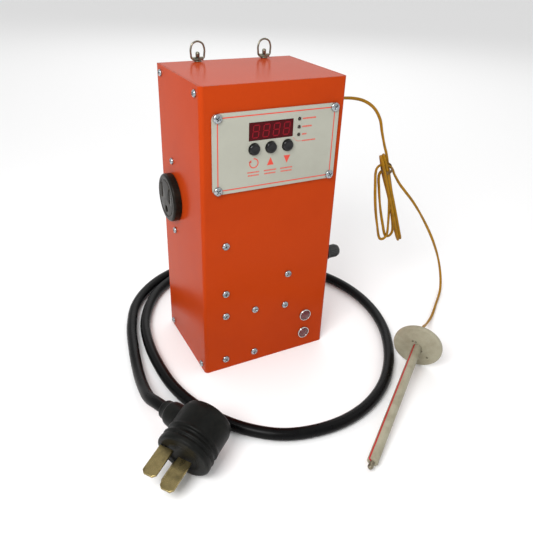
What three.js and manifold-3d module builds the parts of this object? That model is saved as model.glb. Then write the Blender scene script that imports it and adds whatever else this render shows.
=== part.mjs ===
// A remote temperature controller for a pottery kiln: a folded sheet-steel box with a keypad and display,
// a power receptacle, a mains cord with its plug, and a thermocouple probe on a braided lead.
// Millimetres, +Z up. The origin is the centre of the box's underside, and the front faces -Y.
import * as THREE from "three";
import { mergeVertices } from "three/addons/utils/BufferGeometryUtils.js";
import Module from "manifold-3d";

const wasm = await Module();
wasm.setup();

// ---- driving dimensions -------------------------------------------------------------------------
const BOX = { width: 160, depth: 120, height: 330, sheet: 1.5, bend: 4 };
const GAP = 0.3; // between pieces that touch
const FRONT = -BOX.depth / 2;
const BACK = BOX.depth / 2;
const SIDE = BOX.width / 2;
const TOP = BOX.height;

const FACEPLATE = { x: 1.5, z: 264.5, width: 141, height: 80.5, thick: 2, corner: 6 };
const PLATE_SCREWS = { dx: 65, dz: 36.1 };
const DISPLAY = { x: -5.9, z: 284.3, width: 49.3, height: 18.3 };
const BUTTONS = { x: [-24.6, -6, 12.9], z: 266.9, radius: 5.85, stands: 3.6, travel: 0.8 };
const LAMP_DOTS = { x: 25.4, z: [292.3, 284.2, 276.4], radius: 1.6 };
const PANEL_SCREWS = [
  [-54.2, 164.3],
  [-54.2, 104.7],
  [-54.2, 75],
  [-17.4, 74.2],
  [22.3, 70.2],
  [23.9, 112.4],
  [-54.4, 13.7],
  [-17.1, 13.3],
];
const SIDE_SCREWS = { y: 49, z: [8, 322] };
const SCREW = { head: 4.3, height: 2.6, shank: 1.9, length: 7 };
const PILOTS = [
  [51.4, 47.6],
  [50.8, 21.6],
];
const RECEPTACLE = { y: 25, z: 192, radius: 27, stands: 9.5, screw_spacing: 83.3 };
const FUSE = { y: -50, z: 123, radius: 7.8, stands: 18 };
const LEAD_EXIT = { y: -25, z: 298.5 };
const CORD_EXIT = { x: 50, z: 40, relief: 36 };
const HANGERS = { x: [-36.5, 43.5], y: 54, wire: 2.1, width: 17.5, height: 21.5 };

// The mains cord lies in one and a quarter turns round the box, from the gland to the plug.
const CORD_DIAMETER = 13;
const CORD_ROUTE = [
  [50, 97.5, 40],
  [50, 106, 39.6],
  [46.3, 126, 36.5],
  [34.9, 143.5, 30.8],
  [17.5, 155.5, 23.5],
  [-4, 160, 15.8],
  [-27, 157.5, 9.8],
  [-51, 147.5, 7],
  [-77, 127, 6.8],
  [-99.5, 96, 6.8],
  [-117, 57, 6.8],
  [-125, 16, 6.8],
  [-127, -27, 6.8],
  [-124, -70, 6.8],
  [-114, -107, 6.8],
  [-97, -140, 6.8],
  [-75, -167, 6.8],
  [-48, -187, 6.8],
  [-17, -197, 6.8],
  [20, -199, 6.8],
  [56, -191, 6.8],
  [92, -172, 6.8],
  [122, -145, 6.8],
  [145, -115, 6.8],
  [164, -80, 6.8],
  [176, -40, 6.8],
  [179, 0, 6.8],
  [173, 40, 6.8],
  [155, 82, 6.8],
  [124, 124, 6.8],
  [84, 156, 6.8],
  [38, 174, 6.8],
  [-8, 176, 6.8],
  [-50, 165, 6.8],
  [-86, 141, 6.8],
  [-115, 106, 6.8],
  [-134, 60, 6.8],
  [-145, 12, 6.8],
  [-152, -30, 8],
  [-156.5, -68, 15],
  [-157.5, -96, 23],
];
const PLUG = {
  face: [-155.5, -189.7, 28.1],
  pins: [-0.795, -0.571, -0.198],
  cord: [-0.34, 0.935, -0.1],
  radius: 27,
  rim: 28,
  depth: 50,
  boss_depth: 30,
  boss_reach: 52,
  boss: 12,
};

// The thermocouple lead leaves the right side, carries a hank and runs along the floor to the probe.
const LEAD_DIAMETER = 3.6;
const LEAD_UPPER = [
  [86.5, -25, 298.5],
  [100, -25, 298.5],
  [116, -25, 297],
  [131, -25, 293],
  [146, -25, 284],
  [157, -25, 270],
  [163, -25, 253],
  [170, -25, 235],
  [173.1, -25, 228.2],
];
const HANK = { top: [170.5, 212.5, 14.6], foot: [199.5, 122.5, 26], y: -24.5, thick: 19 };
const LEAD_LOWER = [
  [202.5, -25, 183],
  [212, -25, 173],
  [232, -25, 152],
  [256, -25, 122],
  [280, -26, 86],
  [300, -26, 48],
  [309, -28, 18],
  [304, -36, 5],
  [275, -60, 2.5],
  [246, -83, 3.4],
  [216, -104, 12],
  [194, -120, 24],
  [172, -138, 31],
  [160.4, -149.2, 30.4],
];
const PROBE = { head: [154, -154, 29.3], tip: [8, -262, 6.3], radius: 29, thick: 7, tube: 5.6 };

// ---- materials ----------------------------------------------------------------------------------
const finish = (color, roughness, metalness) =>
  new THREE.MeshStandardMaterial({ color, roughness, metalness });
const MATERIAL = {
  paint: finish(0xd8421a, 0.35, 0),
  plate: finish(0xc9c6bb, 0.5, 0),
  window: finish(0x4a0f12, 0.15, 0),
  black: finish(0x151515, 0.35, 0),
  rubber: finish(0x101010, 0.6, 0),
  zinc: finish(0xb9bcc0, 0.35, 1),
  chrome: finish(0xd9dce0, 0.12, 1),
  steel: finish(0x6a6a68, 0.4, 1),
  red_lens: finish(0xb01a14, 0.2, 0),
  brass: finish(0xb08d3c, 0.35, 1),
  ceramic: finish(0xd9d6c8, 0.6, 0),
  braid: finish(0xb07a22, 0.7, 0),
  board: finish(0x1d5a34, 0.5, 0),
  core: finish(0x55565a, 0.5, 1),
  relay: finish(0x20242a, 0.4, 0),
};

// ---- solids -------------------------------------------------------------------------------------
function solid(geometry) {
  const bare = geometry.clone();
  bare.deleteAttribute("normal");
  bare.deleteAttribute("uv");
  const merged = mergeVertices(bare, 1e-4);
  return new wasm.Manifold(
    new wasm.Mesh({
      numProp: 3,
      vertProperties: new Float32Array(merged.attributes.position.array),
      triVerts: new Uint32Array(merged.index.array),
    }),
  );
}

function geometryOf(body) {
  const mesh = body.getMesh();
  return new THREE.BufferGeometry()
    .setAttribute("position", new THREE.BufferAttribute(mesh.vertProperties, 3))
    .setIndex(new THREE.BufferAttribute(mesh.triVerts, 1));
}

function cut(geometry, ...tools) {
  return geometryOf(tools.reduce((body, tool) => body.subtract(solid(tool)), solid(geometry)));
}

function join(geometry, ...others) {
  return geometryOf(others.reduce((body, other) => body.add(solid(other)), solid(geometry)));
}

// A block between two corners.
function block(low, high) {
  const size = high.map((h, i) => h - low[i]);
  const middle = high.map((h, i) => (h + low[i]) / 2);
  return new THREE.BoxGeometry(...size).translate(...middle);
}

// A round bar from one point to another; the far end may have its own radius.
function bar(from, to, radius, sides = 12, far_radius = radius) {
  const start = new THREE.Vector3(...from);
  const along = new THREE.Vector3(...to).sub(start);
  const turn = new THREE.Quaternion().setFromUnitVectors(
    new THREE.Vector3(0, 1, 0),
    along.clone().normalize(),
  );
  return new THREE.CylinderGeometry(far_radius, radius, along.length(), sides)
    .applyQuaternion(turn)
    .translate(...start.addScaledVector(along, 0.5).toArray());
}

// A turned shape: [radius, height] pairs from one end of the axis to the other, stood along a direction.
function turned(profile, at, direction, sides = 12) {
  const turn = new THREE.Quaternion().setFromUnitVectors(
    new THREE.Vector3(0, 1, 0),
    new THREE.Vector3(...direction).normalize(),
  );
  return new THREE.LatheGeometry(profile.map(([r, h]) => new THREE.Vector2(r, h)), sides)
    .applyQuaternion(turn)
    .translate(...at);
}

// A rounded rectangle, drawn about the origin of a shape's plane.
function roundedRectangle(width, height, corner) {
  const x = width / 2;
  const y = height / 2;
  const shape = new THREE.Shape();
  shape.moveTo(-x + corner, -y);
  shape.lineTo(x - corner, -y);
  shape.absarc(x - corner, -y + corner, corner, -Math.PI / 2, 0, false);
  shape.lineTo(x, y - corner);
  shape.absarc(x - corner, y - corner, corner, 0, Math.PI / 2, false);
  shape.lineTo(-x + corner, y);
  shape.absarc(-x + corner, y - corner, corner, Math.PI / 2, Math.PI, false);
  shape.lineTo(-x, -y + corner);
  shape.absarc(-x + corner, -y + corner, corner, Math.PI, 1.5 * Math.PI, false);
  return shape;
}

// A plate cut from a front view (x across, y up), between two depths along Y.
function platePrism(shape, y_near, y_far, curveSegments = 4) {
  return new THREE.ExtrudeGeometry(shape, {
    depth: y_far - y_near,
    bevelEnabled: false,
    curveSegments,
  })
    .rotateX(Math.PI / 2)
    .translate(0, y_far, 0);
}

// A round tube along a smooth curve through the points.
function tube(points, diameter, sides, steps) {
  const places = points.map((p) => new THREE.Vector3(...p));
  const curve = new THREE.CatmullRomCurve3(places, false, "centripetal");
  const section = new THREE.Shape();
  for (let i = 0; i < sides; i++) {
    const angle = (2 * Math.PI * i) / sides;
    const corner = [(diameter / 2) * Math.cos(angle), (diameter / 2) * Math.sin(angle)];
    if (i === 0) section.moveTo(...corner);
    else section.lineTo(...corner);
  }
  return new THREE.ExtrudeGeometry(section, { steps, bevelEnabled: false, extrudePath: curve });
}

const controller = new THREE.Group();

function piece(name, geometry, material) {
  const mesh = new THREE.Mesh(geometry, material);
  mesh.name = name;
  controller.add(mesh);
}

// ---- casing -------------------------------------------------------------------------------------
// The cover is one sheet folded into the front and both sides.
function cover() {
  const { sheet, bend } = BOX;
  const inner = bend - sheet;
  const outline = new THREE.Shape();
  outline.moveTo(-SIDE, BACK);
  outline.lineTo(-SIDE, FRONT + bend);
  outline.absarc(-SIDE + bend, FRONT + bend, bend, Math.PI, 1.5 * Math.PI, false);
  outline.lineTo(SIDE - bend, FRONT);
  outline.absarc(SIDE - bend, FRONT + bend, bend, -Math.PI / 2, 0, false);
  outline.lineTo(SIDE, BACK);
  outline.lineTo(SIDE - sheet, BACK);
  outline.lineTo(SIDE - sheet, FRONT + bend);
  outline.absarc(SIDE - bend, FRONT + bend, inner, 0, -Math.PI / 2, true);
  outline.lineTo(-SIDE + bend, FRONT + sheet);
  outline.absarc(-SIDE + bend, FRONT + bend, inner, -Math.PI / 2, -Math.PI, true);
  outline.lineTo(-SIDE + sheet, BACK);
  const folded = new THREE.ExtrudeGeometry(outline, {
    depth: TOP,
    bevelEnabled: false,
    curveSegments: 4,
  });
  const hole = SCREW.shank + 0.4;
  const through = [FRONT - 5, FRONT + 5];
  const fronts = [
    ...PANEL_SCREWS.map(([x, z]) => [x, z, hole, 8]),
    ...plateScrewPlaces().map(([x, z]) => [x, z, hole, 8]),
    ...PILOTS.map(([x, z]) => [x, z, 6.2, 12]),
  ].map(([x, z, r, sides]) => bar([x, through[0], z], [x, through[1], z], r, sides));
  const sides = sideScrewPlaces().map(([x, y, z]) => bar([x - 5, y, z], [x + 5, y, z], hole, 8));
  const { y, z, radius, screw_spacing } = RECEPTACLE;
  const receptacle = [
    bar([-SIDE - 5, y, z], [-SIDE + 5, y, z], radius - 2, 24),
    ...[-1, 1].map((s) => z + (s * screw_spacing) / 2).map((h) =>
      bar([-SIDE - 5, y, h], [-SIDE + 5, y, h], hole, 8),
    ),
  ];
  const right = [
    bar([SIDE - 5, FUSE.y, FUSE.z], [SIDE + 5, FUSE.y, FUSE.z], 6.4, 12),
    bar([SIDE - 5, LEAD_EXIT.y, LEAD_EXIT.z], [SIDE + 5, LEAD_EXIT.y, LEAD_EXIT.z], 4.4, 12),
  ];
  const controls = block([-56, through[0], 234], [58, through[1], 297]);
  return cut(folded, controls, ...fronts, ...sides, ...receptacle, ...right);
}

// The chassis is the back, the top and the bottom, with a flange down each side for the cover screws.
function chassis() {
  const { sheet } = BOX;
  const x = SIDE - sheet - GAP;
  const front = FRONT + sheet + GAP;
  const flange = 14;
  const back = block([-x, BACK - sheet, 0], [x, BACK, TOP]);
  const notch = BOX.bend - sheet;
  const plan = new THREE.Shape();
  plan.moveTo(-x, front + notch);
  plan.lineTo(-x + notch, front);
  plan.lineTo(x - notch, front);
  plan.lineTo(x, front + notch);
  plan.lineTo(x, BACK - sheet / 2);
  plan.lineTo(-x, BACK - sheet / 2);
  const sheetOfPlan = () => new THREE.ExtrudeGeometry(plan, { depth: sheet, bevelEnabled: false });
  const floor = sheetOfPlan();
  const roof = sheetOfPlan().translate(0, 0, TOP - sheet);
  const flanges = [-1, 1].flatMap((s) =>
    [
      [sheet / 2, flange],
      [TOP - flange, TOP - sheet / 2],
    ].map(([low, high]) => {
      const [a, b] = [s * x, s * (x - sheet)].sort((p, q) => p - q);
      return block([a, front + 4, low], [b, BACK - sheet / 2, high]);
    }),
  );
  const whole = join(back, floor, roof, ...flanges);
  const tapped = sideScrewPlaces().map(([px, y, z]) =>
    bar([px - 8, y, z], [px + 8, y, z], SCREW.shank + 0.3, 8),
  );
  const { x: cord_x, z: cord_z } = CORD_EXIT;
  const cord = bar([cord_x, BACK - 5, cord_z], [cord_x, BACK + 5, cord_z], 9.3, 16);
  const studs = HANGERS.x.map((sx) =>
    bar([sx, HANGERS.y, TOP - 5], [sx, HANGERS.y, TOP + 5], 2.1, 8),
  );
  return cut(whole, ...tapped, cord, ...studs);
}

// ---- screws -------------------------------------------------------------------------------------
// A pan-head machine screw whose head sits on a face; the shank goes in against the direction.
function panScrew(at, direction, scale = 1) {
  const r = SCREW.head * scale;
  const profile = [
    [0, -SCREW.length],
    [SCREW.shank, -SCREW.length],
    [SCREW.shank, GAP],
    [r, GAP],
    [r * 0.94, SCREW.height * 0.55],
    [r * 0.6, SCREW.height],
    [0, SCREW.height],
  ];
  return turned(profile, at, direction, 10);
}

function sideScrewPlaces() {
  return [-1, 1].flatMap((s) =>
    SIDE_SCREWS.z.flatMap((z) => [-1, 1].map((t) => [s * SIDE, t * SIDE_SCREWS.y, z])),
  );
}

function plateScrewPlaces() {
  return [-1, 1].flatMap((s) =>
    [-1, 1].map((t) => [FACEPLATE.x + s * PLATE_SCREWS.dx, FACEPLATE.z + t * PLATE_SCREWS.dz]),
  );
}

// ---- control panel ------------------------------------------------------------------------------
const PLATE_BACK = FRONT - GAP;
const PLATE_FRONT = PLATE_BACK - FACEPLATE.thick;
const BOARD_FRONT = FRONT + 10;

function faceplate() {
  const { x, z, width, height, corner } = FACEPLATE;
  const plate = platePrism(roundedRectangle(width, height, corner), PLATE_FRONT, PLATE_BACK);
  plate.translate(x, 0, z);
  const near = PLATE_FRONT - 5;
  const far = PLATE_BACK + 5;
  const window = block(
    [DISPLAY.x - DISPLAY.width / 2, near, DISPLAY.z - DISPLAY.height / 2],
    [DISPLAY.x + DISPLAY.width / 2, far, DISPLAY.z + DISPLAY.height / 2],
  );
  const holes = [
    ...BUTTONS.x.map((bx) => [bx, BUTTONS.z, BUTTONS.radius + 0.4, 20]),
    ...LAMP_DOTS.z.map((lz) => [LAMP_DOTS.x, lz, LAMP_DOTS.radius + 0.3, 8]),
    ...plateScrewPlaces().map(([sx, sz]) => [sx, sz, SCREW.shank + 0.4, 8]),
  ];
  return cut(plate, window, ...holes.map(([hx, hz, r, n]) => bar([hx, near, hz], [hx, far, hz], r, n)));
}

function displayWindow() {
  const { x, z, width, height } = DISPLAY;
  const w = width / 2 - GAP;
  const h = height / 2 - GAP;
  return block([x - w, PLATE_FRONT + 0.2, z - h], [x + w, PLATE_BACK - 0.1, z + h]);
}

function displayModule() {
  const { x, z } = DISPLAY;
  return block([x - 25, PLATE_BACK + GAP, z - 8.6], [x + 25, BOARD_FRONT - GAP, z + 8.6]);
}

// The circuit board carries the lamps that show in the plate and the switches behind the buttons.
function controlBoard() {
  const board = block([-54, BOARD_FRONT, 236], [56, BOARD_FRONT + 1.6, 295.5]);
  const lamps = LAMP_DOTS.z.map((z) =>
    bar([LAMP_DOTS.x, BOARD_FRONT + 0.8, z], [LAMP_DOTS.x, PLATE_FRONT - 0.4, z], LAMP_DOTS.radius, 8),
  );
  const switches = BUTTONS.x.map((x) =>
    block([x - 3, BOARD_FRONT - 4, BUTTONS.z - 3], [x + 3, BOARD_FRONT + 0.8, BUTTONS.z + 3]),
  );
  return join(board, ...lamps, ...switches);
}

// A domed cap on a stem; it travels back until the stem meets the switch.
function button(x) {
  const r = BUTTONS.radius;
  const crown = PLATE_FRONT - BUTTONS.stands;
  const foot = BOARD_FRONT - 4 - BUTTONS.travel - GAP;
  const profile = [
    [0, 0],
    [2.4, 0],
    [2.4, foot - (PLATE_BACK + 2)],
    [r, foot - (PLATE_BACK + 1.4)],
    [r, foot - (PLATE_FRONT - 1.2)],
    [r * 0.93, foot - (crown + 1.3)],
    [r * 0.7, foot - (crown + 0.4)],
    [0, foot - crown],
  ];
  return turned(profile, [x, foot, BUTTONS.z], [0, -1, 0], 20);
}

// ---- pilot lamps --------------------------------------------------------------------------------
function pilotBezel([x, z]) {
  const profile = [
    [4.6, -16],
    [5.9, -16],
    [5.9, GAP],
    [7.85, GAP],
    [7.85, 1.3],
    [7.35, 2.6],
    [6.55, 2.6],
    [6.25, 0.9],
    [4.6, 0.9],
    [4.6, -16],
  ];
  return turned(profile, [x, FRONT, z], [0, -1, 0], 16);
}

function pilotLens([x, z]) {
  const profile = [
    [0, -14],
    [4.3, -14],
    [4.3, 1.2],
    [5.95, 1.2],
    [5.95, 2.4],
    [5.4, 3],
    [0, 3.4],
  ];
  return turned(profile, [x, FRONT, z], [0, -1, 0], 14);
}

// ---- left side: receptacle ----------------------------------------------------------------------
// A moulded body with two blade slots and a round ground hole, all open at the face.
function receptacle() {
  const { y, z, radius, stands } = RECEPTACLE;
  const profile = [
    [0, -26],
    [radius - 3, -26],
    [radius - 3, GAP],
    [radius, GAP],
    [radius, stands - 2],
    [radius - 2, stands],
    [0, stands],
  ];
  const body = turned(profile, [-SIDE, y, z], [-1, 0, 0], 32);
  const face = -SIDE - stands - 5;
  const bottom = -SIDE + 12;
  const slots = [-12, 12].map((dy) =>
    block([face, y + dy - 1.7, z - 3], [bottom, y + dy + 1.7, z + 15]),
  );
  const ground = bar([face, y, z - 13], [bottom, y, z - 13], 4.2, 12);
  return cut(body, ...slots, ground);
}

// The yoke bridges the back of the receptacle and takes its two screws.
function receptacleYoke() {
  const { y, z, radius, screw_spacing } = RECEPTACLE;
  const inside = -SIDE + BOX.sheet + GAP;
  const reach = screw_spacing / 2 + 6;
  const yoke = block([inside, y - 11, z - reach], [inside + 1.6, y + 11, z + reach]);
  const middle = bar([inside - 5, y, z], [inside + 5, y, z], radius - 3 + GAP, 32);
  const ring = bar([inside, y, z], [inside + 1.6, y, z], radius + 4, 32);
  const holes = [-1, 1].map((s) => z + (s * screw_spacing) / 2).map((h) =>
    bar([inside - 5, y, h], [inside + 5, y, h], SCREW.shank + 0.3, 8),
  );
  return cut(join(yoke, ring), middle, ...holes);
}

// ---- right side: fuse and lead outlet -----------------------------------------------------------
function fuseHolder() {
  const profile = [
    [0, -30],
    [5.9, -30],
    [5.9, GAP],
    [8.8, GAP],
    [8.8, 2.2],
    [7.4, 3],
    [0, 3],
  ];
  return turned(profile, [SIDE, FUSE.y, FUSE.z], [1, 0, 0], 18);
}

// The cap turns a quarter to unlock, and has a slot across its end.
function fuseCap() {
  const { y, z, radius, stands } = FUSE;
  const profile = [
    [0, 3.3],
    [radius - 0.6, 3.3],
    [radius, 4.2],
    [radius, stands - 2.4],
    [radius - 2, stands],
    [0, stands],
  ];
  const cap = turned(profile, [SIDE, y, z], [1, 0, 0], 18);
  const end = SIDE + stands;
  return cut(cap, block([end - 1.6, y - 0.8, z - radius], [end + 2, y + 0.8, z + radius]));
}

function leadGrommet() {
  const hole = LEAD_DIAMETER / 2 + GAP;
  const profile = [
    [hole, -3.4],
    [6.4, -3.4],
    [6.4, -BOX.sheet - GAP],
    [4.1, -BOX.sheet - GAP],
    [4.1, GAP],
    [6.4, GAP],
    [6, 2.6],
    [3.4, 6],
    [hole, 6],
    [hole, -3.4],
  ];
  return turned(profile, [SIDE, LEAD_EXIT.y, LEAD_EXIT.z], [1, 0, 0], 12);
}

// ---- inside -------------------------------------------------------------------------------------
// A laminated core round a wound bobbin, held to the front by the four middle screws.
function transformer() {
  const core = block([-50, -50, 79], [2, -14, 100]);
  const winding = block([-39, -53, 68.5], [-9, -11, 110.5]);
  return join(core, winding);
}

function relay(x, z) {
  const can = block([x - 16, -50, z - 14], [x + 16, -12, z + 14]);
  const tabs = [-9, 0, 9].map((dx) => block([x + dx - 3, -13, z - 0.4], [x + dx + 3, -4, z + 0.4]));
  return join(can, ...tabs);
}

function terminalBlock() {
  const base = block([-40, 28, 20], [20, 50, 34]);
  const barriers = [-40, -20, 0, 18].map((x) => block([x, 27, 18], [x + 2, 52, 42]));
  return join(base, ...barriers);
}

// ---- cord gland and hangers ---------------------------------------------------------------------
// A locknut inside, a hexagon outside, and a tapered sleeve that keeps the cord from kinking.
function cordGland() {
  const { x, z, relief } = CORD_EXIT;
  const neck = bar([x, BACK - 8, z], [x, BACK + 4, z], 9, 16);
  const nut = bar([x, BACK - 8, z], [x, BACK - BOX.sheet - GAP, z], 13, 6);
  const hexagon = bar([x, BACK + GAP, z], [x, BACK + 9, z], 14, 6);
  const sleeve = bar([x, BACK + 8, z], [x, BACK + relief + 0.9, z], 11.5, 16, 7.9);
  return join(neck, nut, hexagon, sleeve);
}

function hangerStud(x) {
  const base = TOP;
  const profile = [
    [0, -6],
    [3.8, -6],
    [3.8, -BOX.sheet - GAP],
    [1.6, -BOX.sheet - GAP],
    [1.6, GAP],
    [4, GAP],
    [4, 1.2],
    [1.6, 1.2],
    [1.6, 5],
    [2.2, 5],
    [2.2, 8.6],
    [1.4, 10],
    [0, 10.4],
  ];
  return turned(profile, [x, HANGERS.y, base], [0, 0, 1], 12);
}

// The wire loop's two ends go into a cross bar that turns on the stud.
function hangerLoop(x) {
  const { y, wire, width, height } = HANGERS;
  const low = TOP + 1.5;
  const high = TOP + 4.7;
  const middle = (low + high) / 2;
  const half = (width - wire) / 2;
  const cross = cut(
    block([x - 6, y - 1.9, low], [x + 6, y + 1.9, high]),
    bar([x, y, low - 2], [x, y, high + 2], 1.9, 12),
  );
  const crown = TOP + height - wire / 2;
  const route = [
    [-5, 0],
    [-6.9, 0.9],
    [-half + 0.2, 4.4],
    [-half, 9.5],
    [-half * 0.72, crown - middle - 2.3],
    [0, crown - middle],
    [half * 0.72, crown - middle - 2.3],
    [half, 9.5],
    [half - 0.2, 4.4],
    [6.9, 0.9],
    [5, 0],
  ].map(([dx, dz]) => [x + dx, y, middle + dz]);
  return join(cross, tube(route, wire, 8, 32));
}

// ---- mains cord and plug ------------------------------------------------------------------------
const vector = (values) => new THREE.Vector3(...values);

// A point of the plug, counted from its face: back from the face, then along the cord's boss.
function plugPoint(back, along) {
  return vector(PLUG.face)
    .addScaledVector(vector(PLUG.pins).normalize(), -back)
    .addScaledVector(vector(PLUG.cord).normalize(), along)
    .toArray();
}

function powerCord() {
  const end = plugPoint(PLUG.boss_depth, PLUG.boss_reach + GAP);
  const straight = plugPoint(PLUG.boss_depth, PLUG.boss_reach + 14);
  return tube([...CORD_ROUTE, straight, end], CORD_DIAMETER, 10, 76);
}

// A moulded barrel with a ringed rim, and a side boss where the cord comes in.
function plugBody() {
  const { radius, rim, depth, boss, boss_depth, boss_reach } = PLUG;
  const profile = [
    [0, -depth],
    [radius - 7, -depth],
    [radius - 2, -depth + 2.5],
    [radius, -depth + 8],
    [radius, -17],
    [rim - 3, -15],
    [rim - 3, -12],
    [rim, -10.5],
    [rim, -1.5],
    [rim - 1.5, 0],
    [0, 0],
  ];
  const barrel = turned(profile, PLUG.face, PLUG.pins, 28);
  const on_boss = (along) => plugPoint(boss_depth, along);
  const sleeve = bar(on_boss(0), on_boss(boss_reach - 8), boss + 1, 16);
  const end = bar(on_boss(boss_reach - 9), on_boss(boss_reach), boss + 1, 16, boss - 3);
  return join(barrel, sleeve, end);
}

// The plug's own axes: across is level, and up leans with the face.
function plugAxes() {
  const out = vector(PLUG.pins).normalize();
  const across = new THREE.Vector3(0, 0, 1).cross(out).normalize();
  const up = out.clone().cross(across);
  return new THREE.Matrix4().makeBasis(across, up, out).setPosition(vector(PLUG.face));
}

// A flat blade that stands out of the face, with its corners cut off at the tip.
function plugBlade(across, up, width, length) {
  const w = width / 2;
  const shape = new THREE.Shape();
  shape.moveTo(-w, GAP);
  shape.lineTo(w, GAP);
  shape.lineTo(w, length - 3);
  shape.lineTo(w - 3, length);
  shape.lineTo(-w + 3, length);
  shape.lineTo(-w, length - 3);
  return new THREE.ExtrudeGeometry(shape, { depth: 2.6, bevelEnabled: false })
    .rotateX(Math.PI / 2)
    .translate(across, up + 1.3, 0)
    .applyMatrix4(plugAxes());
}

function plugGroundPin(across, up, length) {
  const profile = [
    [0, GAP],
    [3.6, GAP],
    [3.6, length - 3],
    [2, length - 0.6],
    [0, length],
  ];
  return turned(profile, [0, 0, 0], [0, 0, 1], 12)
    .translate(across, up, 0)
    .applyMatrix4(plugAxes());
}

// ---- thermocouple -------------------------------------------------------------------------------
function leadTube(points, steps) {
  return tube(points, LEAD_DIAMETER, 8, steps);
}

// The folded loops of the lead, as the outline round all of them.
function leadHank() {
  const [[x1, z1, r1], [x2, z2, r2]] = [HANK.top, HANK.foot];
  const lean = Math.atan2(z1 - z2, x1 - x2);
  const flank = Math.acos((r2 - r1) / Math.hypot(x1 - x2, z1 - z2));
  const shape = new THREE.Shape();
  shape.absarc(x2, z2, r2, lean + flank, lean - flank + 2 * Math.PI, false);
  shape.absarc(x1, z1, r1, lean - flank, lean + flank, false);
  return platePrism(shape, HANK.y - HANK.thick / 2, HANK.y + HANK.thick / 2, 8);
}

const PROBE_AXIS = vector(PROBE.tip).sub(vector(PROBE.head)).normalize();
const probePoint = (along) => vector(PROBE.head).addScaledVector(PROBE_AXIS, along).toArray();
const PROBE_LENGTH = vector(PROBE.tip).distanceTo(vector(PROBE.head));

function probeHead() {
  const { radius, thick } = PROBE;
  const profile = [
    [0, -thick],
    [radius - 1, -thick],
    [radius, -thick + 1],
    [radius, -1],
    [radius - 1, 0],
    [0, 0],
  ];
  return turned(profile, PROBE.head, PROBE_AXIS.toArray(), 28);
}

function probeTube() {
  return bar(probePoint(GAP), probePoint(PROBE_LENGTH - 8), PROBE.tube, 14);
}

// The two wires come out of the tube and are twisted into a bead.
function probeTip() {
  const profile = [
    [0, 0],
    [2.4, 0],
    [2.6, 2.5],
    [3, 5],
    [2.2, 7.5],
    [0, 8.2],
  ];
  return turned(profile, probePoint(PROBE_LENGTH - 8 + GAP), PROBE_AXIS.toArray(), 10);
}

// ---- assembly -----------------------------------------------------------------------------------
piece("cover", cover(), MATERIAL.paint);
piece("chassis", chassis(), MATERIAL.paint);
sideScrewPlaces().forEach(([x, y, z], i) =>
  piece(`side_screw_${i + 1}`, panScrew([x, y, z], [Math.sign(x), 0, 0], 0.85), MATERIAL.zinc),
);
PANEL_SCREWS.forEach(([x, z], i) =>
  piece(`panel_screw_${i + 1}`, panScrew([x, FRONT, z], [0, -1, 0]), MATERIAL.zinc),
);
piece("faceplate", faceplate(), MATERIAL.plate);
plateScrewPlaces().forEach(([x, z], i) =>
  piece(`faceplate_screw_${i + 1}`, panScrew([x, PLATE_FRONT, z], [0, -1, 0], 1.1), MATERIAL.zinc),
);
piece("display_window", displayWindow(), MATERIAL.window);
piece("display_module", displayModule(), MATERIAL.black);
piece("control_board", controlBoard(), MATERIAL.board);
["start_button", "up_button", "down_button"].forEach((name, i) =>
  piece(name, button(BUTTONS.x[i]), MATERIAL.black),
);
PILOTS.forEach((place, i) => {
  piece(`pilot_bezel_${i + 1}`, pilotBezel(place), MATERIAL.chrome);
  piece(`pilot_lens_${i + 1}`, pilotLens(place), MATERIAL.red_lens);
});
piece("receptacle", receptacle(), MATERIAL.black);
piece("receptacle_yoke", receptacleYoke(), MATERIAL.steel);
[-1, 1].forEach((s, i) =>
  piece(
    `receptacle_screw_${i + 1}`,
    panScrew([-SIDE, RECEPTACLE.y, RECEPTACLE.z + (s * RECEPTACLE.screw_spacing) / 2], [-1, 0, 0], 0.85),
    MATERIAL.zinc,
  ),
);
piece("fuse_holder", fuseHolder(), MATERIAL.black);
piece("fuse_cap", fuseCap(), MATERIAL.black);
piece("lead_grommet", leadGrommet(), MATERIAL.rubber);
piece("transformer", transformer(), MATERIAL.core);
piece("relay_1", relay(30, 92), MATERIAL.relay);
piece("relay_2", relay(-54, 145), MATERIAL.relay);
piece("terminal_block", terminalBlock(), MATERIAL.black);
piece("cord_gland", cordGland(), MATERIAL.rubber);
HANGERS.x.forEach((x, i) => {
  piece(`hanger_stud_${i + 1}`, hangerStud(x), MATERIAL.steel);
  piece(`hanger_loop_${i + 1}`, hangerLoop(x), MATERIAL.steel);
});
piece("power_cord", powerCord(), MATERIAL.rubber);
piece("plug_body", plugBody(), MATERIAL.rubber);
piece("plug_blade_1", plugBlade(-15.5, 6, 15, 31), MATERIAL.brass);
piece("plug_blade_2", plugBlade(3, -2.5, 15, 33), MATERIAL.brass);
piece("plug_ground_pin", plugGroundPin(-9, -16, 24), MATERIAL.brass);
piece("probe_head", probeHead(), MATERIAL.ceramic);
piece("probe_tube", probeTube(), MATERIAL.ceramic);
piece("probe_tip", probeTip(), MATERIAL.steel);
piece("lead_upper", leadTube(LEAD_UPPER, 20), MATERIAL.braid);
piece("lead_hank", leadHank(), MATERIAL.braid);
piece("lead_lower", leadTube(LEAD_LOWER, 44), MATERIAL.braid);

export default controller;
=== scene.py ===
# A remote temperature controller for a pottery kiln: a folded steel box with its keypad and lamps, a power
# receptacle, a mains cord with an angle plug, and a thermocouple probe on a braided lead.
import math
import random

import bmesh
import bpy
from mathutils import Matrix, Vector


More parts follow.
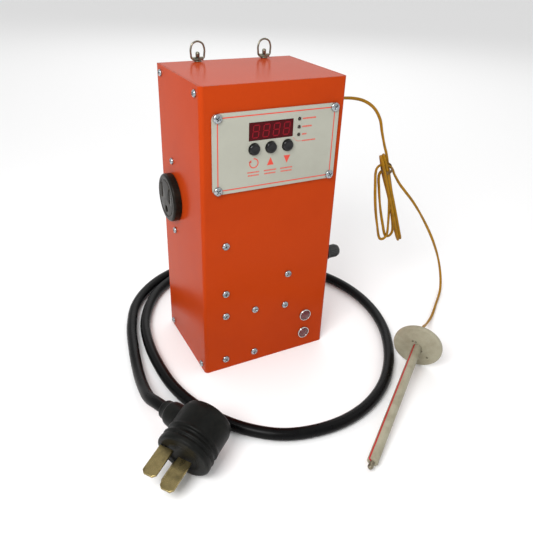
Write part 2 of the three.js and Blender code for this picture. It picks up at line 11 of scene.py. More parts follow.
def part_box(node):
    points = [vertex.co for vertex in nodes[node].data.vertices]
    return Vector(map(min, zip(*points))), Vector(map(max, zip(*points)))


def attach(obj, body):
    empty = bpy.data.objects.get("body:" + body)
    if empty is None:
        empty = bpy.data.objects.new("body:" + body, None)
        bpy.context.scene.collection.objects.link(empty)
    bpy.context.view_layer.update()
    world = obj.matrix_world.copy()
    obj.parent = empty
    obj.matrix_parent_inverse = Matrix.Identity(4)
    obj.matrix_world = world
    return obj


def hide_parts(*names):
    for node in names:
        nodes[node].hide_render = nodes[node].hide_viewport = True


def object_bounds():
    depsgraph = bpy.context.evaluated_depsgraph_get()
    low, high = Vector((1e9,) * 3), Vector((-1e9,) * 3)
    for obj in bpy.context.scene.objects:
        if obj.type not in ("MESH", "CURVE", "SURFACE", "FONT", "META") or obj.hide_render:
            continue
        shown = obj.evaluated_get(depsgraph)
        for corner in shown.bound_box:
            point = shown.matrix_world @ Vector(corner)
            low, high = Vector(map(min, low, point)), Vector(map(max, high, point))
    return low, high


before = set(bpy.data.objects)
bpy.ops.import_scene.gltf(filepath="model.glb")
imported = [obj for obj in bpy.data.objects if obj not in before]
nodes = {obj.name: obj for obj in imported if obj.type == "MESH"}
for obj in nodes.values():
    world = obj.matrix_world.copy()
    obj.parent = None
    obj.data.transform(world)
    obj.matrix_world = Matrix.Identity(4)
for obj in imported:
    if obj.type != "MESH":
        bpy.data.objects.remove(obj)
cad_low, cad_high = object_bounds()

scene = bpy.context.scene
MM = 0.001

# ---- camera
# The controller is seen from in front and to the left, from a little above its top plate, with the
# camera slightly rolled.
AZIMUTH, ELEVATION, ROLL = (math.radians(angle) for angle in (-28.52, 29.74, 2.28))
LENS = 38.185
eye = Vector((-0.2673, -0.5438, 0.4429))
back = Vector((
    math.sin(AZIMUTH) * math.cos(ELEVATION),
    -math.cos(AZIMUTH) * math.cos(ELEVATION),
    math.sin(ELEVATION),
))
level = Vector((math.cos(AZIMUTH), math.sin(AZIMUTH), 0))
upright = back.cross(level)
right = level * math.cos(ROLL) + upright * math.sin(ROLL)
above = upright * math.cos(ROLL) - level * math.sin(ROLL)
camera = bpy.data.objects.new("camera", bpy.data.cameras.new("camera"))
camera.data.lens = LENS
camera.data.clip_start = 0.01
camera.matrix_world = Matrix.Translation(eye) @ Matrix((right, above, back)).transposed().to_4x4()
scene.collection.objects.link(camera)
scene.camera = camera

# ---- power cord
# A heavy mains cord in a black rubber jacket. It leaves the gland at the back, lies once and a quarter
# round the box on the floor, and rises into the side boss of its plug.
CORD_DIAMETER = 13 * MM
CORD_ROUTE = [
    (50, 97.5, 40), (50, 106, 39.6), (46.3, 126, 36.5), (34.9, 143.5, 30.8), (17.5, 155.5, 23.5),
    (-4, 160, 15.8), (-27, 157.5, 9.8), (-51, 147.5, 7), (-77, 127, 6.8), (-99.5, 96, 6.8),
    (-117, 57, 6.8), (-125, 16, 6.8), (-127, -27, 6.8), (-124, -70, 6.8), (-114, -107, 6.8),
    (-97, -140, 6.8), (-75, -167, 6.8), (-48, -187, 6.8), (-17, -197, 6.8), (20, -199, 6.8),
    (56, -191, 6.8), (92, -172, 6.8), (122, -145, 6.8), (145, -115, 6.8), (164, -80, 6.8),
    (176, -40, 6.8), (179, 0, 6.8), (173, 40, 6.8), (155, 82, 6.8), (124, 124, 6.8), (84, 156, 6.8),
    (38, 174, 6.8), (-8, 176, 6.8), (-50, 165, 6.8), (-86, 141, 6.8), (-115, 106, 6.8), (-134, 60, 6.8),
    (-145, 12, 6.8), (-152, -30, 8), (-156.5, -68, 15), (-157.5, -96, 23),
]
PLUG_FACE = Vector((-155.5, -189.7, 28.1)) * MM
PLUG_PINS = Vector((-0.795, -0.571, -0.198)).normalized()
PLUG_CORD = Vector((-0.34, 0.935, -0.1)).normalized()
BOSS_DEPTH = 30 * MM
BOSS_REACH = 52 * MM


def plug_point(behind, along):
    """A point of the plug: so far behind its face, and so far out along the cord's boss."""
    return PLUG_FACE - PLUG_PINS * behind + PLUG_CORD * along


def spaced(points, step):
    """The polyline again, with its points evenly about step apart."""
    lengths = [(b - a).length for a, b in zip(points, points[1:])]
    count = max(2, round(sum(lengths) / step))
    wanted = sum(lengths) / count
    placed, travelled, due = [points[0]], 0, wanted
    for start, end, length in zip(points, points[1:], lengths):
        while due <= travelled + length + 1e-12 and len(placed) < count:
            placed.append(start.lerp(end, (due - travelled) / length))
            due += wanted
        travelled += length
    return placed + [points[-1]]


def smooth_route(points, step):
    """A centripetal Catmull-Rom curve through the points, as evenly spaced points."""
    ends = [points[0] * 2 - points[1], *points, points[-1] * 2 - points[-2]]
    fine = []
    for before, start, end, after in zip(ends, ends[1:], ends[2:], ends[3:]):
        gaps = [math.sqrt((b - a).length) for a, b in ((before, start), (start, end), (end, after))]
        leave = (start - before) / gaps[0] - (end - before) / (gaps[0] + gaps[1]) + (end - start) / gaps[1]
        arrive = (end - start) / gaps[1] - (after - start) / (gaps[1] + gaps[2]) + (after - end) / gaps[2]
        for i in range(24):
            t = i / 24
            fine.append(
                start * (2 * t**3 - 3 * t**2 + 1)
                + leave * gaps[1] * (t**3 - 2 * t**2 + t)
                + end * (3 * t**2 - 2 * t**3)
                + arrive * gaps[1] * (t**3 - t**2)
            )
    return spaced([*fine, points[-1]], step)


def skin_mesh(rings, metres):
    """A closed skin over rings of points, with U round it and V in metres along it."""
    sides = len(rings[0])
    faces, places = [], []
    for i in range(len(rings) - 1):
        for j in range(sides):
            after = (j + 1) % sides
            faces.append([i * sides + j, i * sides + after, (i + 1) * sides + after, (i + 1) * sides + j])
            low, high = metres[i], metres[i + 1]
            places += [(j / sides, low), ((j + 1) / sides, low), ((j + 1) / sides, high), (j / sides, high)]
    last = (len(rings) - 1) * sides
    faces += [list(range(sides))[::-1], [last + j for j in range(sides)]]
    places += [(j / sides, metres[0]) for j in range(sides)][::-1]
    places += [(j / sides, metres[-1]) for j in range(sides)]
    mesh = bpy.data.meshes.new("skin")
    mesh.from_pydata([point for ring in rings for point in ring], [], faces)
    mesh.uv_layers.new(name="UVMap").data.foreach_set("uv", [value for place in places for value in place])
    mesh.shade_smooth()
    return mesh


def swept(line, section, twist=0.0):
    """A closed skin along a line. section is (across, out) places round it, and twist is in turns."""
    metres = [0.0]
    for a, b in zip(line, line[1:]):
        metres.append(metres[-1] + (b - a).length)
    heading = (line[1] - line[0]).normalized()
    side = heading.cross(Vector((0.13, 0.2, 1))).normalized()
    rings = []
    for i, point in enumerate(line):
        ahead = (line[min(i + 1, len(line) - 1)] - line[max(i - 1, 0)]).normalized()
        side = heading.rotation_difference(ahead) @ side
        side = (side - ahead * side.dot(ahead)).normalized()
        heading = ahead
        turned_side = Matrix.Rotation(twist * math.tau * metres[i] / metres[-1], 3, ahead) @ side
        out = ahead.cross(turned_side)
        rings.append([point + turned_side * a + out * b for a, b in section])
    return skin_mesh(rings, metres)


def ring_section(radius, sides):
    return [
        (radius * math.cos(math.tau * i / sides), radius * math.sin(math.tau * i / sides))
        for i in range(sides)
    ]


def add_node(tree, kind, settings=None, **inputs):
    """A node with its settings. An input is named, or i0, i1 and so on, and takes a value or a socket."""
    made = tree.nodes.new(kind)
    for name, value in (settings or {}).items():
        setattr(made, name, value)
    for name, value in inputs.items():
        key = int(name[1:]) if name[0] == "i" and name[1:].isdigit() else name.replace("_", " ")
        if isinstance(value, bpy.types.NodeSocket):
            tree.links.new(value, made.inputs[key])
        else:
            made.inputs[key].default_value = value
    return made


def maths(tree, operation, first, second=0.0, third=0.0):
    node = add_node(tree, "ShaderNodeMath", {"operation": operation}, i0=first, i1=second, i2=third)
    return node.outputs[0]


def times(tree, first, second):
    return maths(tree, "MULTIPLY", first, second)


def mixed(tree, share, first, second):
    node = add_node(tree, "ShaderNodeMix", {"data_type": "RGBA"}, i0=share, i6=first, i7=second)
    return node.outputs[2]


def ranged(tree, value, low, high, low_out=0.0, high_out=1.0):
    node = add_node(tree, "ShaderNodeMapRange", i0=value, i1=low, i2=high, i3=low_out, i4=high_out)
    return node.outputs[0]


def colour(*screen):
    """A screen colour, 0 to 255, as the linear colour that a shader takes."""
    shares = [v / 255 for v in screen]
    return (*[v / 12.92 if v < 0.0404 else ((v + 0.055) / 1.055) ** 2.4 for v in shares], 1)


def new_group(name, inputs, outputs):
    """An empty shader group. inputs maps a name to its default; outputs maps a name to its kind."""
    group = bpy.data.node_groups.new(name, "ShaderNodeTree")
    for title, default in inputs.items():
        kind = "NodeSocketColor" if isinstance(default, tuple) else "NodeSocketFloat"
        group.interface.new_socket(title, in_out="INPUT", socket_type=kind).default_value = default
    for title, kind in outputs.items():
        group.interface.new_socket(title, in_out="OUTPUT", socket_type="NodeSocket" + kind)
    return group, group.nodes.new("NodeGroupInput"), group.nodes.new("NodeGroupOutput")


def noise(tree, scale, detail, roughness=0.5):
    where = add_node(tree, "ShaderNodeTexCoord").outputs["Object"]
    made = add_node(
        tree, "ShaderNodeTexNoise", Vector=where, Scale=scale, Detail=detail, Roughness=roughness,
    )
    return made.outputs[0]


# Handling and age: broad patches of a second colour and sheen over a fine grain.
handled, given, result = new_group(
    "handled_surface",
    {
        "Clean": (0.5, 0.5, 0.5, 1),
        "Handled": (0.3, 0.3, 0.3, 1),
        "Amount": 0.5,
        "Patch Scale": 30.0,
        "Grain Scale": 900.0,
        "Roughness": 0.5,
        "Spread": 0.2,
    },
    {"Color": "Color", "Roughness": "Float", "Height": "Float"},
)
patches = noise(handled, given.outputs["Patch Scale"], 5.0, 0.62)
grain = noise(handled, given.outputs["Grain Scale"], 2.0)
patch_mask = times(handled, ranged(handled, patches, 0.4, 0.68), given.outputs["Amount"])
grain_mask = times(handled, ranged(handled, grain, 0.35, 0.75), given.outputs["Amount"])
share = maths(handled, "MAXIMUM", patch_mask, times(handled, grain_mask, 0.4))
tone = mixed(handled, share, given.outputs["Clean"], given.outputs["Handled"])
swing = times(handled, maths(handled, "SUBTRACT", patches, 0.5), given.outputs["Spread"])
sheen = maths(handled, "ADD", given.outputs["Roughness"], times(handled, swing, 2.0))
handled.links.new(tone, result.inputs["Color"])
handled.links.new(sheen, result.inputs["Roughness"])
handled.links.new(grain, result.inputs["Height"])

# Rubbed edges: 1 where the surface turns sharply within the radius, broken up by a noise.
rubbed, given, result = new_group(
    "rubbed_edges", {"Radius": 0.0008, "Noise Scale": 160.0}, {"Mask": "Float"},
)
eased_normal = add_node(rubbed, "ShaderNodeBevel", {"samples": 6}, Radius=given.outputs["Radius"]).outputs[0]
flat_normal = add_node(rubbed, "ShaderNodeNewGeometry").outputs["Normal"]
agreement = add_node(
    rubbed, "ShaderNodeVectorMath", {"operation": "DOT_PRODUCT"}, i0=eased_normal, i1=flat_normal,
).outputs["Value"]
breaks = noise(rubbed, given.outputs["Noise Scale"], 4.0)
turn = ranged(rubbed, agreement, 0.995, 0.88)
rubbed.links.new(times(rubbed, turn, ranged(rubbed, breaks, 0.42, 0.6)), result.inputs["Mask"])


def use_group(tree, group, **inputs):
    node = tree.nodes.new("ShaderNodeGroup")
    node.node_tree = group
    for name, value in inputs.items():
        socket = node.inputs[name.replace("_", " ")]
        if isinstance(value, bpy.types.NodeSocket):
            tree.links.new(value, socket)
        else:
            socket.default_value = value
    return node


def surface(name, clean, worn, roughness, bump=0.1, depth=0.0002, specular=0.5, metallic=0.0, **feel):
    """A material whose colours, sheen and bump come from the handled surface group."""
    material = bpy.data.materials.new(name)
    material.use_nodes = True
    tree = material.node_tree
    shader = tree.nodes["Principled BSDF"]
    wear = use_group(
        tree, handled, Clean=colour(*clean), Handled=colour(*worn), Roughness=roughness, **feel,
    )
    relief = add_node(tree, "ShaderNodeBump", Strength=bump, Distance=depth, Height=wear.outputs["Height"])
    tree.links.new(wear.outputs["Color"], shader.inputs["Base Color"])
    tree.links.new(wear.outputs["Roughness"], shader.inputs["Roughness"])
    tree.links.new(relief.outputs[0], shader.inputs["Normal"])
    shader.inputs["Specular IOR Level"].default_value = specular
    shader.inputs["Metallic"].default_value = metallic
    return material


def tint(material, share, second):
    """Mixes a second colour over a material's base colour."""
    tree = material.node_tree
    socket = tree.nodes["Principled BSDF"].inputs["Base Color"]
    tree.links.new(mixed(tree, share, socket.links[0].from_socket, colour(*second)), socket)


def add_edge_wear(material, bare, radius=0.0008, noise_scale=160.0):
    """Mixes a bare colour into a material's base colour along its rubbed edges."""
    worn = use_group(material.node_tree, rubbed, Radius=radius, Noise_Scale=noise_scale)
    tint(material, worn.outputs["Mask"], bare)


def place(name, mesh, material, slot, *stands_for, body="case"):
    """Puts a finished mesh in the scene, riding on a body and standing for its CAD nodes."""
    mesh.name = name
    made = bpy.data.objects.new(name, mesh)
    scene.collection.objects.link(made)
    made.data.materials.clear()
    made.data.materials.append(material)
    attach(made, body)
    if stands_for:
        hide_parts(*stands_for)
    return made


rubber = surface(
    "cord_rubber", (5, 5, 6), (16, 16, 15), 0.3, bump=0.2, depth=0.0003, specular=0.1, Amount=0.55,
    Patch_Scale=45.0, Grain_Scale=520.0, Spread=0.22,
)
cord_points = [Vector(point) * MM for point in CORD_ROUTE]
cord_points += [plug_point(BOSS_DEPTH, BOSS_REACH + 14 * MM), plug_point(BOSS_DEPTH, BOSS_REACH + 0.3 * MM)]
cord_line = smooth_route(cord_points, 2.2 * MM)
cord_line.append(plug_point(BOSS_DEPTH, BOSS_REACH - 4 * MM))
power_cord = place(
    "mains_cord", swept(cord_line, ring_section(CORD_DIAMETER / 2, 24)), rubber, "rubber",
    "power_cord",
)

# ---- thermocouple lead
# A flat pair of wires in a waxed glass-fibre braid, golden brown. It leaves the right side, is folded
# into four hanging loops held by a wire tie, and runs down and along the floor to the probe.
LEAD_WIDTH = 3.6 * MM
LEAD_THICK = 3.0 * MM
LEAD_UPPER = [
    (86.5, -25, 298.5), (100, -25, 298.5), (116, -25, 297), (131, -25, 293), (146, -25, 284),
    (157, -25, 270), (163, -25, 253), (170, -25, 235), (173.1, -25, 228.2),
]
LEAD_LOWER = [
    (202.5, -25, 183), (212, -25, 173), (232, -25, 152), (256, -25, 122), (280, -26, 86),
    (300, -26, 48), (309, -28, 18), (304, -36, 5), (275, -60, 2.5), (246, -83, 3.4), (216, -104, 12),
    (194, -120, 24), (172, -138, 31), (160.4, -149.2, 30.4),
]
# Each loop hangs between a top circle and a foot circle of one radius. facing is the way that it
# faces, in degrees, and bulge is how far its two runs bow out.
LOOP_RADIUS = 7.4
LEAD_IN = {"top": (176.5, -25, 219.2), "foot": (218.5, -25, 112.9), "facing": 62}
LOOPS = [
    {"top": (172.8, -25, 217.7), "foot": (214.8, -25, 111.4), "facing": 62, "bulge": 0.4},
    {"top": (169.1, -25, 216.3), "foot": (211.1, -25, 110), "facing": 62, "bulge": 0.4},
    {"top": (175.5, -22.8, 197.3), "foot": (198.3, -22.8, 116), "facing": 6, "bulge": 2.4},
    {"top": (166.4, -27.2, 206.2), "foot": (185.8, -27.2, 116.4), "facing": 4, "bulge": 3.0},
]


def loop_frame(place_in, facing_degrees, other):
    """The way across a loop at one of its circles, square to the line from top to foot."""
    facing = math.radians(facing_degrees)
    down = (other - place_in).normalized()
    across = Vector((math.cos(facing), math.sin(facing), 0))
    return (across - down * across.dot(down)).normalized(), down


def winding_point(position):
    """A point of the winding: down the right run, round the foot, up the left run and over the top."""
    turn = min(int(position), len(LOOPS) - 1)
    phase = position - turn
    loop, before = LOOPS[turn], LOOPS[turn - 1] if turn else LEAD_IN
    top, foot = Vector(loop["top"]), Vector(loop["foot"])
    across, down = loop_frame(top, loop["facing"], foot)
    if phase < 0.3:
        share = phase / 0.3
        eased_share = share * share * (3 - 2 * share)
        start = Vector(before["top"])
        start_across = loop_frame(start, before["facing"], Vector(before["foot"]))[0]
        sideways = start_across.lerp(across, eased_share).normalized()
        bow = LOOP_RADIUS + loop["bulge"] * math.sin(math.pi * share)
        return start.lerp(foot, share) + sideways * bow
    if phase < 0.5:
        angle = math.pi * (phase - 0.3) / 0.2
        return foot + (across * math.cos(angle) + down * math.sin(angle)) * LOOP_RADIUS
    if phase < 0.8:
        share = (phase - 0.5) / 0.3
        return foot.lerp(top, share) - across * (LOOP_RADIUS + loop["bulge"] * math.sin(math.pi * share))
    angle = math.pi * (phase - 0.8) / 0.2
    return top - (across * math.cos(angle) + down * math.sin(angle)) * LOOP_RADIUS


STEPS_ROUND = 20
winding = [winding_point(i / STEPS_ROUND) for i in range(2, len(LOOPS) * STEPS_ROUND - 1)]
way_out = [(181, -28, 209.5), (191, -26.3, 197)]
lead_points = [Vector(p) * MM for p in [*LEAD_UPPER, *winding, *way_out, *LEAD_LOWER]]
lead_line = smooth_route(lead_points, 1.1 * MM)


def twin_section(width, thick, sides_each):
    """Two round wires side by side under one braid."""
    radius = thick / 2
    middle = width / 2 - radius
    right_side = [
        (middle + radius * math.cos(a), radius * math.sin(a))
        for a in (math.radians(-75 + 150 * i / (sides_each - 1)) for i in range(sides_each))
    ]
    return right_side + [(-a, -b) for a, b in right_side]


glass_braid = surface(
    "waxed_glass_braid", (172, 124, 18), (110, 78, 12), 0.45, bump=0.2, specular=0.12, Amount=0.6,
    Patch_Scale=70.0, Grain_Scale=1500.0,
)
tree = glass_braid.node_tree
shader = tree.nodes["Principled BSDF"]
lead_uv = add_node(tree, "ShaderNodeSeparateXYZ", Vector=add_node(tree, "ShaderNodeUVMap").outputs[0])
round_it = times(tree, lead_uv.outputs[0], 6.0)
along_it = times(tree, lead_uv.outputs[1], 560.0)
carriers = [
    maths(tree, "SINE", times(tree, maths(tree, sign, along_it, round_it), math.tau))
    for sign in ("ADD", "SUBTRACT")
]
braid_height = maths(tree, "MAXIMUM", *carriers)
braid_relief = add_node(
    tree, "ShaderNodeBump", Strength=0.5, Distance=0.00022, Height=braid_height,
    Normal=shader.inputs["Normal"].links[0].from_socket,
)
tree.links.new(braid_relief.outputs[0], shader.inputs["Normal"])
# Painted shade: the hollows between the braid's carriers are mixed towards a dark brown, up to about half.
tint(glass_braid, ranged(tree, braid_height, 0.7, -0.3, 0.0, 0.55), (92, 58, 18))
lead = place(
    "thermocouple_lead", swept(lead_line, twin_section(LEAD_WIDTH, LEAD_THICK, 9), twist=9),
    glass_braid, "braid", "lead_upper", "lead_hank", "lead_lower",
)

# The tie is a soft brown wire, wound four times round the loops where the lead comes in.
tie_wire = surface("tie_wire", (112, 84, 40), (66, 52, 30), 0.45, metallic=0.3)
TIE = {
    "middle": Vector((177.5, -25, 207)),
    "along": Vector((0.36, 0, -0.93)),
    "wide": Vector((5.6, -2.6, 2.2)),
    "deep": Vector((4.6, 9.6, 1.8)),
    "pitch": 1.1,
    "turns": 4,
}
tie_points = []
for i in range(TIE["turns"] * 24 + 1):
    angle = math.tau * i / 24
    spot = TIE["wide"] * math.cos(angle) + TIE["deep"] * math.sin(angle)
    tie_points.append(
        (TIE["middle"] + spot + TIE["along"] * TIE["pitch"] * (i / 24 - TIE["turns"] / 2)) * MM,
    )
lead_tie = place(
    "lead_tie", swept(spaced(tie_points, 1.2 * MM), ring_section(0.5 * MM, 8)), tie_wire, "steel",
)

# ---- plug
# A moulded rubber angle plug: a round barrel with a ringed rim, and a side boss that grips the cord.
# Two brass blades and an earth pin stand out of its face.
def softened(profile, radius, steps=4):
    """A turned profile with its corners rounded off."""
    points = [Vector(p) for p in profile]
    made = [points[0]]
    for before, corner, after in zip(points, points[1:], points[2:]):
        reach = min(radius, (corner - before).length * 0.45, (after - corner).length * 0.45)
        start = corner + (before - corner).normalized() * reach
        end = corner + (after - corner).normalized() * reach
        for i in range(steps + 1):
            t = i / steps
            made.append(start * (1 - t) ** 2 + corner * 2 * t * (1 - t) + end * t**2)
    return [*made, points[-1]]


def turned(profile, at, axis, sides=64):
    """A turned solid. Its profile is (radius, height) in millimetres, from axis to axis or closed."""
    direction = Vector(axis).normalized()
    stand = Matrix.Translation(at) @ direction.to_track_quat("Z", "Y").to_matrix().to_4x4()
    closed = (Vector(profile[0]) - Vector(profile[-1])).length < 1e-6
    stations = list(profile[:-1] if closed else profile)
    points, rows = [], []
    for radius, height in stations:
        count = 1 if radius < 1e-6 else sides
        rows.append([len(points) + j for j in range(count)])
        points += [
            stand @ (Vector((radius * math.cos(a), radius * math.sin(a), height)) * MM)
            for a in (math.tau * j / sides for j in range(count))
        ]
    pairs = list(zip(rows, rows[1:])) + ([(rows[-1], rows[0])] if closed else [])
    faces = []
    for low, high in pairs:
        for j in range(sides):
            corners = [
                low[j % len(low)], low[(j + 1) % len(low)], high[(j + 1) % len(high)], high[j % len(high)],
            ]
            corner_set = list(dict.fromkeys(corners))
            if len(corner_set) > 2:
                faces.append(corner_set)
    mesh = bpy.data.meshes.new("turned")
    mesh.from_pydata(points, [], faces)
    mesh.shade_smooth()
    return mesh


def mesh_of(shape):
    """A new mesh from a bmesh, which is freed."""
    made = bpy.data.meshes.new("mesh")
    shape.to_mesh(made)
    shape.free()
    return made


def joined(*meshes):
    """One mesh that holds several, each still its own closed shell."""
    shape = bmesh.new()
    for mesh in meshes:
        shape.from_mesh(mesh)
        bpy.data.meshes.remove(mesh)
    return mesh_of(shape)


def made_by(maker):
    """The mesh that a temporary object's modifiers make. The object is removed."""
    made = bpy.data.meshes.new_from_object(maker.evaluated_get(bpy.context.evaluated_depsgraph_get()))
    bpy.data.objects.remove(maker)
    return made


def evaluated(mesh, kind, **settings):
    """The mesh after one modifier with these settings."""
    maker = bpy.data.objects.new("maker", mesh)
    scene.collection.objects.link(maker)
    modifier = maker.modifiers.new("maker", kind)
    for key, value in settings.items():
        setattr(modifier, key, value)
    return made_by(maker)


def bevelled(mesh, width, segments, angle):
    """The mesh with the edges sharper than the angle rounded over."""
    return evaluated(
        mesh, "BEVEL", width=width, segments=segments, limit_method="ANGLE", angle_limit=math.radians(angle),
    )


def carved(mesh, *cutters, operation="DIFFERENCE"):
    """The mesh with each cutter taken away from it, or added to it."""
    for cutter in cutters:
        tool = bpy.data.objects.new("cutter", cutter)
        scene.collection.objects.link(tool)
        mesh = evaluated(mesh, "BOOLEAN", object=tool, operation=operation, solver="EXACT")
        bpy.data.objects.remove(tool)
    return mesh


def block_mesh(low, high):
    """A block between two corners."""
    low, high = Vector(low), Vector(high)
    shape = bmesh.new()
    size, middle = high - low, (high + low) / 2
    bmesh.ops.create_cube(shape, size=1, matrix=Matrix.Translation(middle) @ Matrix.Diagonal((*size, 1)))
    return mesh_of(shape)


def crisp(mesh, angle=35):
    """Smooth shading, with the edges sharper than the angle kept sharp."""
    mesh.shade_smooth()
    mesh.set_sharp_from_angle(angle=math.radians(angle))
    return mesh


# The profiles are (radius, height) in millimetres. The plug's face is at height 0.
barrel_profile = softened([
    (0, -50), (20, -50), (25, -47.5), (27, -41), (27, -20), (27.6, -19), (27.6, -17), (25, -16),
    (25, -12.6), (28, -11.4), (28, -9.4), (26.2, -8.6), (26.2, -7.2), (28, -6.4), (28, -1.6), (26.4, 0),
    (17, 0), (16, -1.4), (0, -1.4),
], 1.0)
boss_profile = softened([
    (0, -8), (13.5, -8), (13, 38), (12.4, 42), (10.8, 43.5), (10.8, 45), (10.2, 46), (9.6, 52), (0, 52),
], 1.2)
barrel = turned(barrel_profile, PLUG_FACE, PLUG_PINS, 96)
boss = turned(boss_profile, plug_point(BOSS_DEPTH, 0), PLUG_CORD, 64)
plug_skin = evaluated(
    carved(barrel, boss, operation="UNION"), "REMESH",
    mode="VOXEL", voxel_size=0.75 * MM, use_smooth_shade=True,
)
plug_skin = evaluated(plug_skin, "SMOOTH", iterations=4, factor=0.5)
plug_rubber = surface(
    "plug_rubber", (10, 11, 10), (28, 28, 25), 0.44, bump=0.3, depth=0.0004, specular=0.1, Amount=0.7,
    Patch_Scale=55.0, Grain_Scale=700.0,
)
add_edge_wear(plug_rubber, (84, 82, 74), radius=0.0012, noise_scale=220.0)
plug_body = place("plug_moulding", plug_skin, plug_rubber, "rubber", "plug_body")

brass = surface(
    "tarnished_brass", (158, 142, 98), (88, 80, 56), 0.3, bump=0.12, metallic=1.0, Amount=0.75,
    Patch_Scale=120.0, Grain_Scale=1400.0, Spread=0.3,
)
add_edge_wear(brass, (236, 206, 120), radius=0.0009, noise_scale=260.0)


def merged_copy(name):
    """A copy of a CAD node's mesh with its corners merged and its flat faces made whole."""
    shape = bmesh.new()
    shape.from_mesh(nodes[name].data)
    bmesh.ops.remove_doubles(shape, verts=shape.verts, dist=1e-6)
    bmesh.ops.dissolve_limit(shape, angle_limit=math.radians(1), verts=shape.verts, edges=shape.edges)
    return mesh_of(shape)


WIDE_FACE = 0.0006


def eased(node, width, segments=3, angle=35):
    """A CAD node's shape with its sharp edges rounded over. Its wide and many-sided faces stay flat."""
    made = bevelled(merged_copy(node), width, segments, angle)
    for face in made.polygons:
        face.use_smooth = len(face.vertices) <= 4 and face.area < WIDE_FACE
    return made


plug_pins = [
    place("brass_blade_1", eased("plug_blade_1", 0.55 * MM), brass, "brass", "plug_blade_1"),
    place("brass_blade_2", eased("plug_blade_2", 0.55 * MM), brass, "brass", "plug_blade_2"),
    place(
        "brass_ground_pin", eased("plug_ground_pin", 0.5 * MM, angle=40), brass, "brass",
        "plug_ground_pin",
    ),
]

# ---- cord gland
# The gland clamps the cord in the back of the box: a hexagon body outside, a locknut inside, and a
# ribbed tapered sleeve that keeps the cord from kinking.
def middle_of(node, **moved_to):
    """The middle of a CAD node's box, with some of its x, y and z moved to other values."""
    low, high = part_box(node)
    spot = (low + high) / 2
    for axis, value in moved_to.items():
        setattr(spot, axis, value)
    return spot


back_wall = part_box("chassis")[1].y
gland_at = middle_of("cord_gland", y=back_wall)
gland_reach = (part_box("cord_gland")[1].y - back_wall) / MM
sleeve_profile = [(0, 7.5), (11.2, 7.5), (11.4, 12)]
RIBS = 7
rib_pitch = (gland_reach - 14) / RIBS
for i in range(RIBS):
    start = 13 + i * rib_pitch
    rib_radius = 11 - 2.6 * i / (RIBS - 1)
    sleeve_profile += [
        (rib_radius - 0.9, start), (rib_radius - 0.9, start + rib_pitch * 0.35),
        (rib_radius, start + rib_pitch * 0.45), (rib_radius, start + rib_pitch * 0.9),
    ]
sleeve_profile += [(8.0, gland_reach - 0.6), (7.2, gland_reach), (0, gland_reach)]
hexagon = turned(softened([(0, 0.3), (14, 0.3), (14, 8), (12.6, 9), (0, 9)], 0.5), gland_at, (0, 1, 0), 6)
locknut = turned(softened([(0, -8), (13, -8), (13, -1.8), (0, -1.8)], 0.5), gland_at, (0, 1, 0), 6)
neck = turned([(0, -8.6), (9, -8.6), (9, 4), (0, 4)], gland_at, (0, 1, 0), 48)
sleeve = turned(softened(sleeve_profile, 0.4), gland_at, (0, 1, 0), 64)
gland_mesh = crisp(carved(hexagon, locknut, neck, sleeve, operation="UNION"), 32)
nylon = surface("black_nylon", (26, 26, 27), (52, 52, 52), 0.42, bump=0.12, Amount=0.4, Grain_Scale=1200.0)
gland = place("gland", gland_mesh, nylon, "rubber", "cord_gland")
Vector(CORD_ROUTE[0]) * MM

# ---- thermocouple probe
# A porous ceramic disc that stands off the kiln wall, a ceramic tube with a red stripe down it, and
# the two wires twisted into a bead at the tip.
PROBE_HEAD = Vector((154, -154, 29.3)) * MM
PROBE_TIP = Vector((8, -262, 6.3)) * MM
BEAD = 8
probe_axis = (PROBE_TIP - PROBE_HEAD).normalized()
probe_length = (PROBE_TIP - PROBE_HEAD).length / MM
disc_profile = softened([(0, -7), (27.4, -7), (29, -5.4), (29, -1.4), (27.6, 0), (0, 0)], 1.2)
disc = turned(disc_profile, PROBE_HEAD, probe_axis, 96)
probe_side = probe_axis.cross(Vector((0, 0, 1))).normalized()
probe_up = probe_side.cross(probe_axis)
HOLES = [(6.2, 7.2, 1.5), (2.4, 6.9, 1.4), (-5.8, -4.5, 1.3), (-13.5, -12.3, 1.4)]
drills = [
    turned([(0, -4), (r, -4), (r, 2), (0, 2)],
        PROBE_HEAD + (probe_side * x + probe_up * y) * MM, probe_axis, 20,
    )
    for x, y, r in HOLES
]
ceramic = surface(
    "bisque_ceramic", (156, 151, 130), (122, 115, 92), 0.62, bump=0.3, depth=0.00035, Amount=0.65,
    Patch_Scale=60.0, Grain_Scale=650.0, Spread=0.12,
)
probe_disc = place("probe_disc", crisp(carved(disc, *drills), 40), ceramic, "ceramic", "probe_head")

# The tube keeps its CAD solid, rounded by modifiers. Its stripe is painted down one side.
striped = ceramic.copy()
striped.name = "striped_ceramic"
tree = striped.node_tree
STRIPE_ACROSS = (probe_side * 0.64 + probe_up * 0.77).normalized()
STRIPE_HALF_WIDTH = 1.1 * MM
spot = add_node(
    tree, "ShaderNodeVectorMath", {"operation": "SUBTRACT"},
    i0=add_node(tree, "ShaderNodeTexCoord").outputs["Object"], i1=PROBE_HEAD,
).outputs[0]
outward, sideways = (
    add_node(tree, "ShaderNodeVectorMath", {"operation": "DOT_PRODUCT"}, i0=spot, i1=way).outputs["Value"]
    for way in (STRIPE_ACROSS, STRIPE_ACROSS.cross(probe_axis))
)
near = maths(tree, "LESS_THAN", maths(tree, "ABSOLUTE", sideways), STRIPE_HALF_WIDTH)
stripe = times(tree, near, maths(tree, "GREATER_THAN", outward, 0.0))
tint(striped, stripe, (168, 24, 28))
bead_metal = surface(
    "heat_stained_alloy", (140, 132, 112), (60, 56, 48), 0.45, bump=0.4, depth=0.0004, metallic=0.8,
    Amount=0.8, Patch_Scale=300.0, Grain_Scale=1500.0,
)


def dress_cad(name, material):
    """Gives a CAD node that stays its finished material."""
    for slot in nodes[name].material_slots:
        slot.material = material


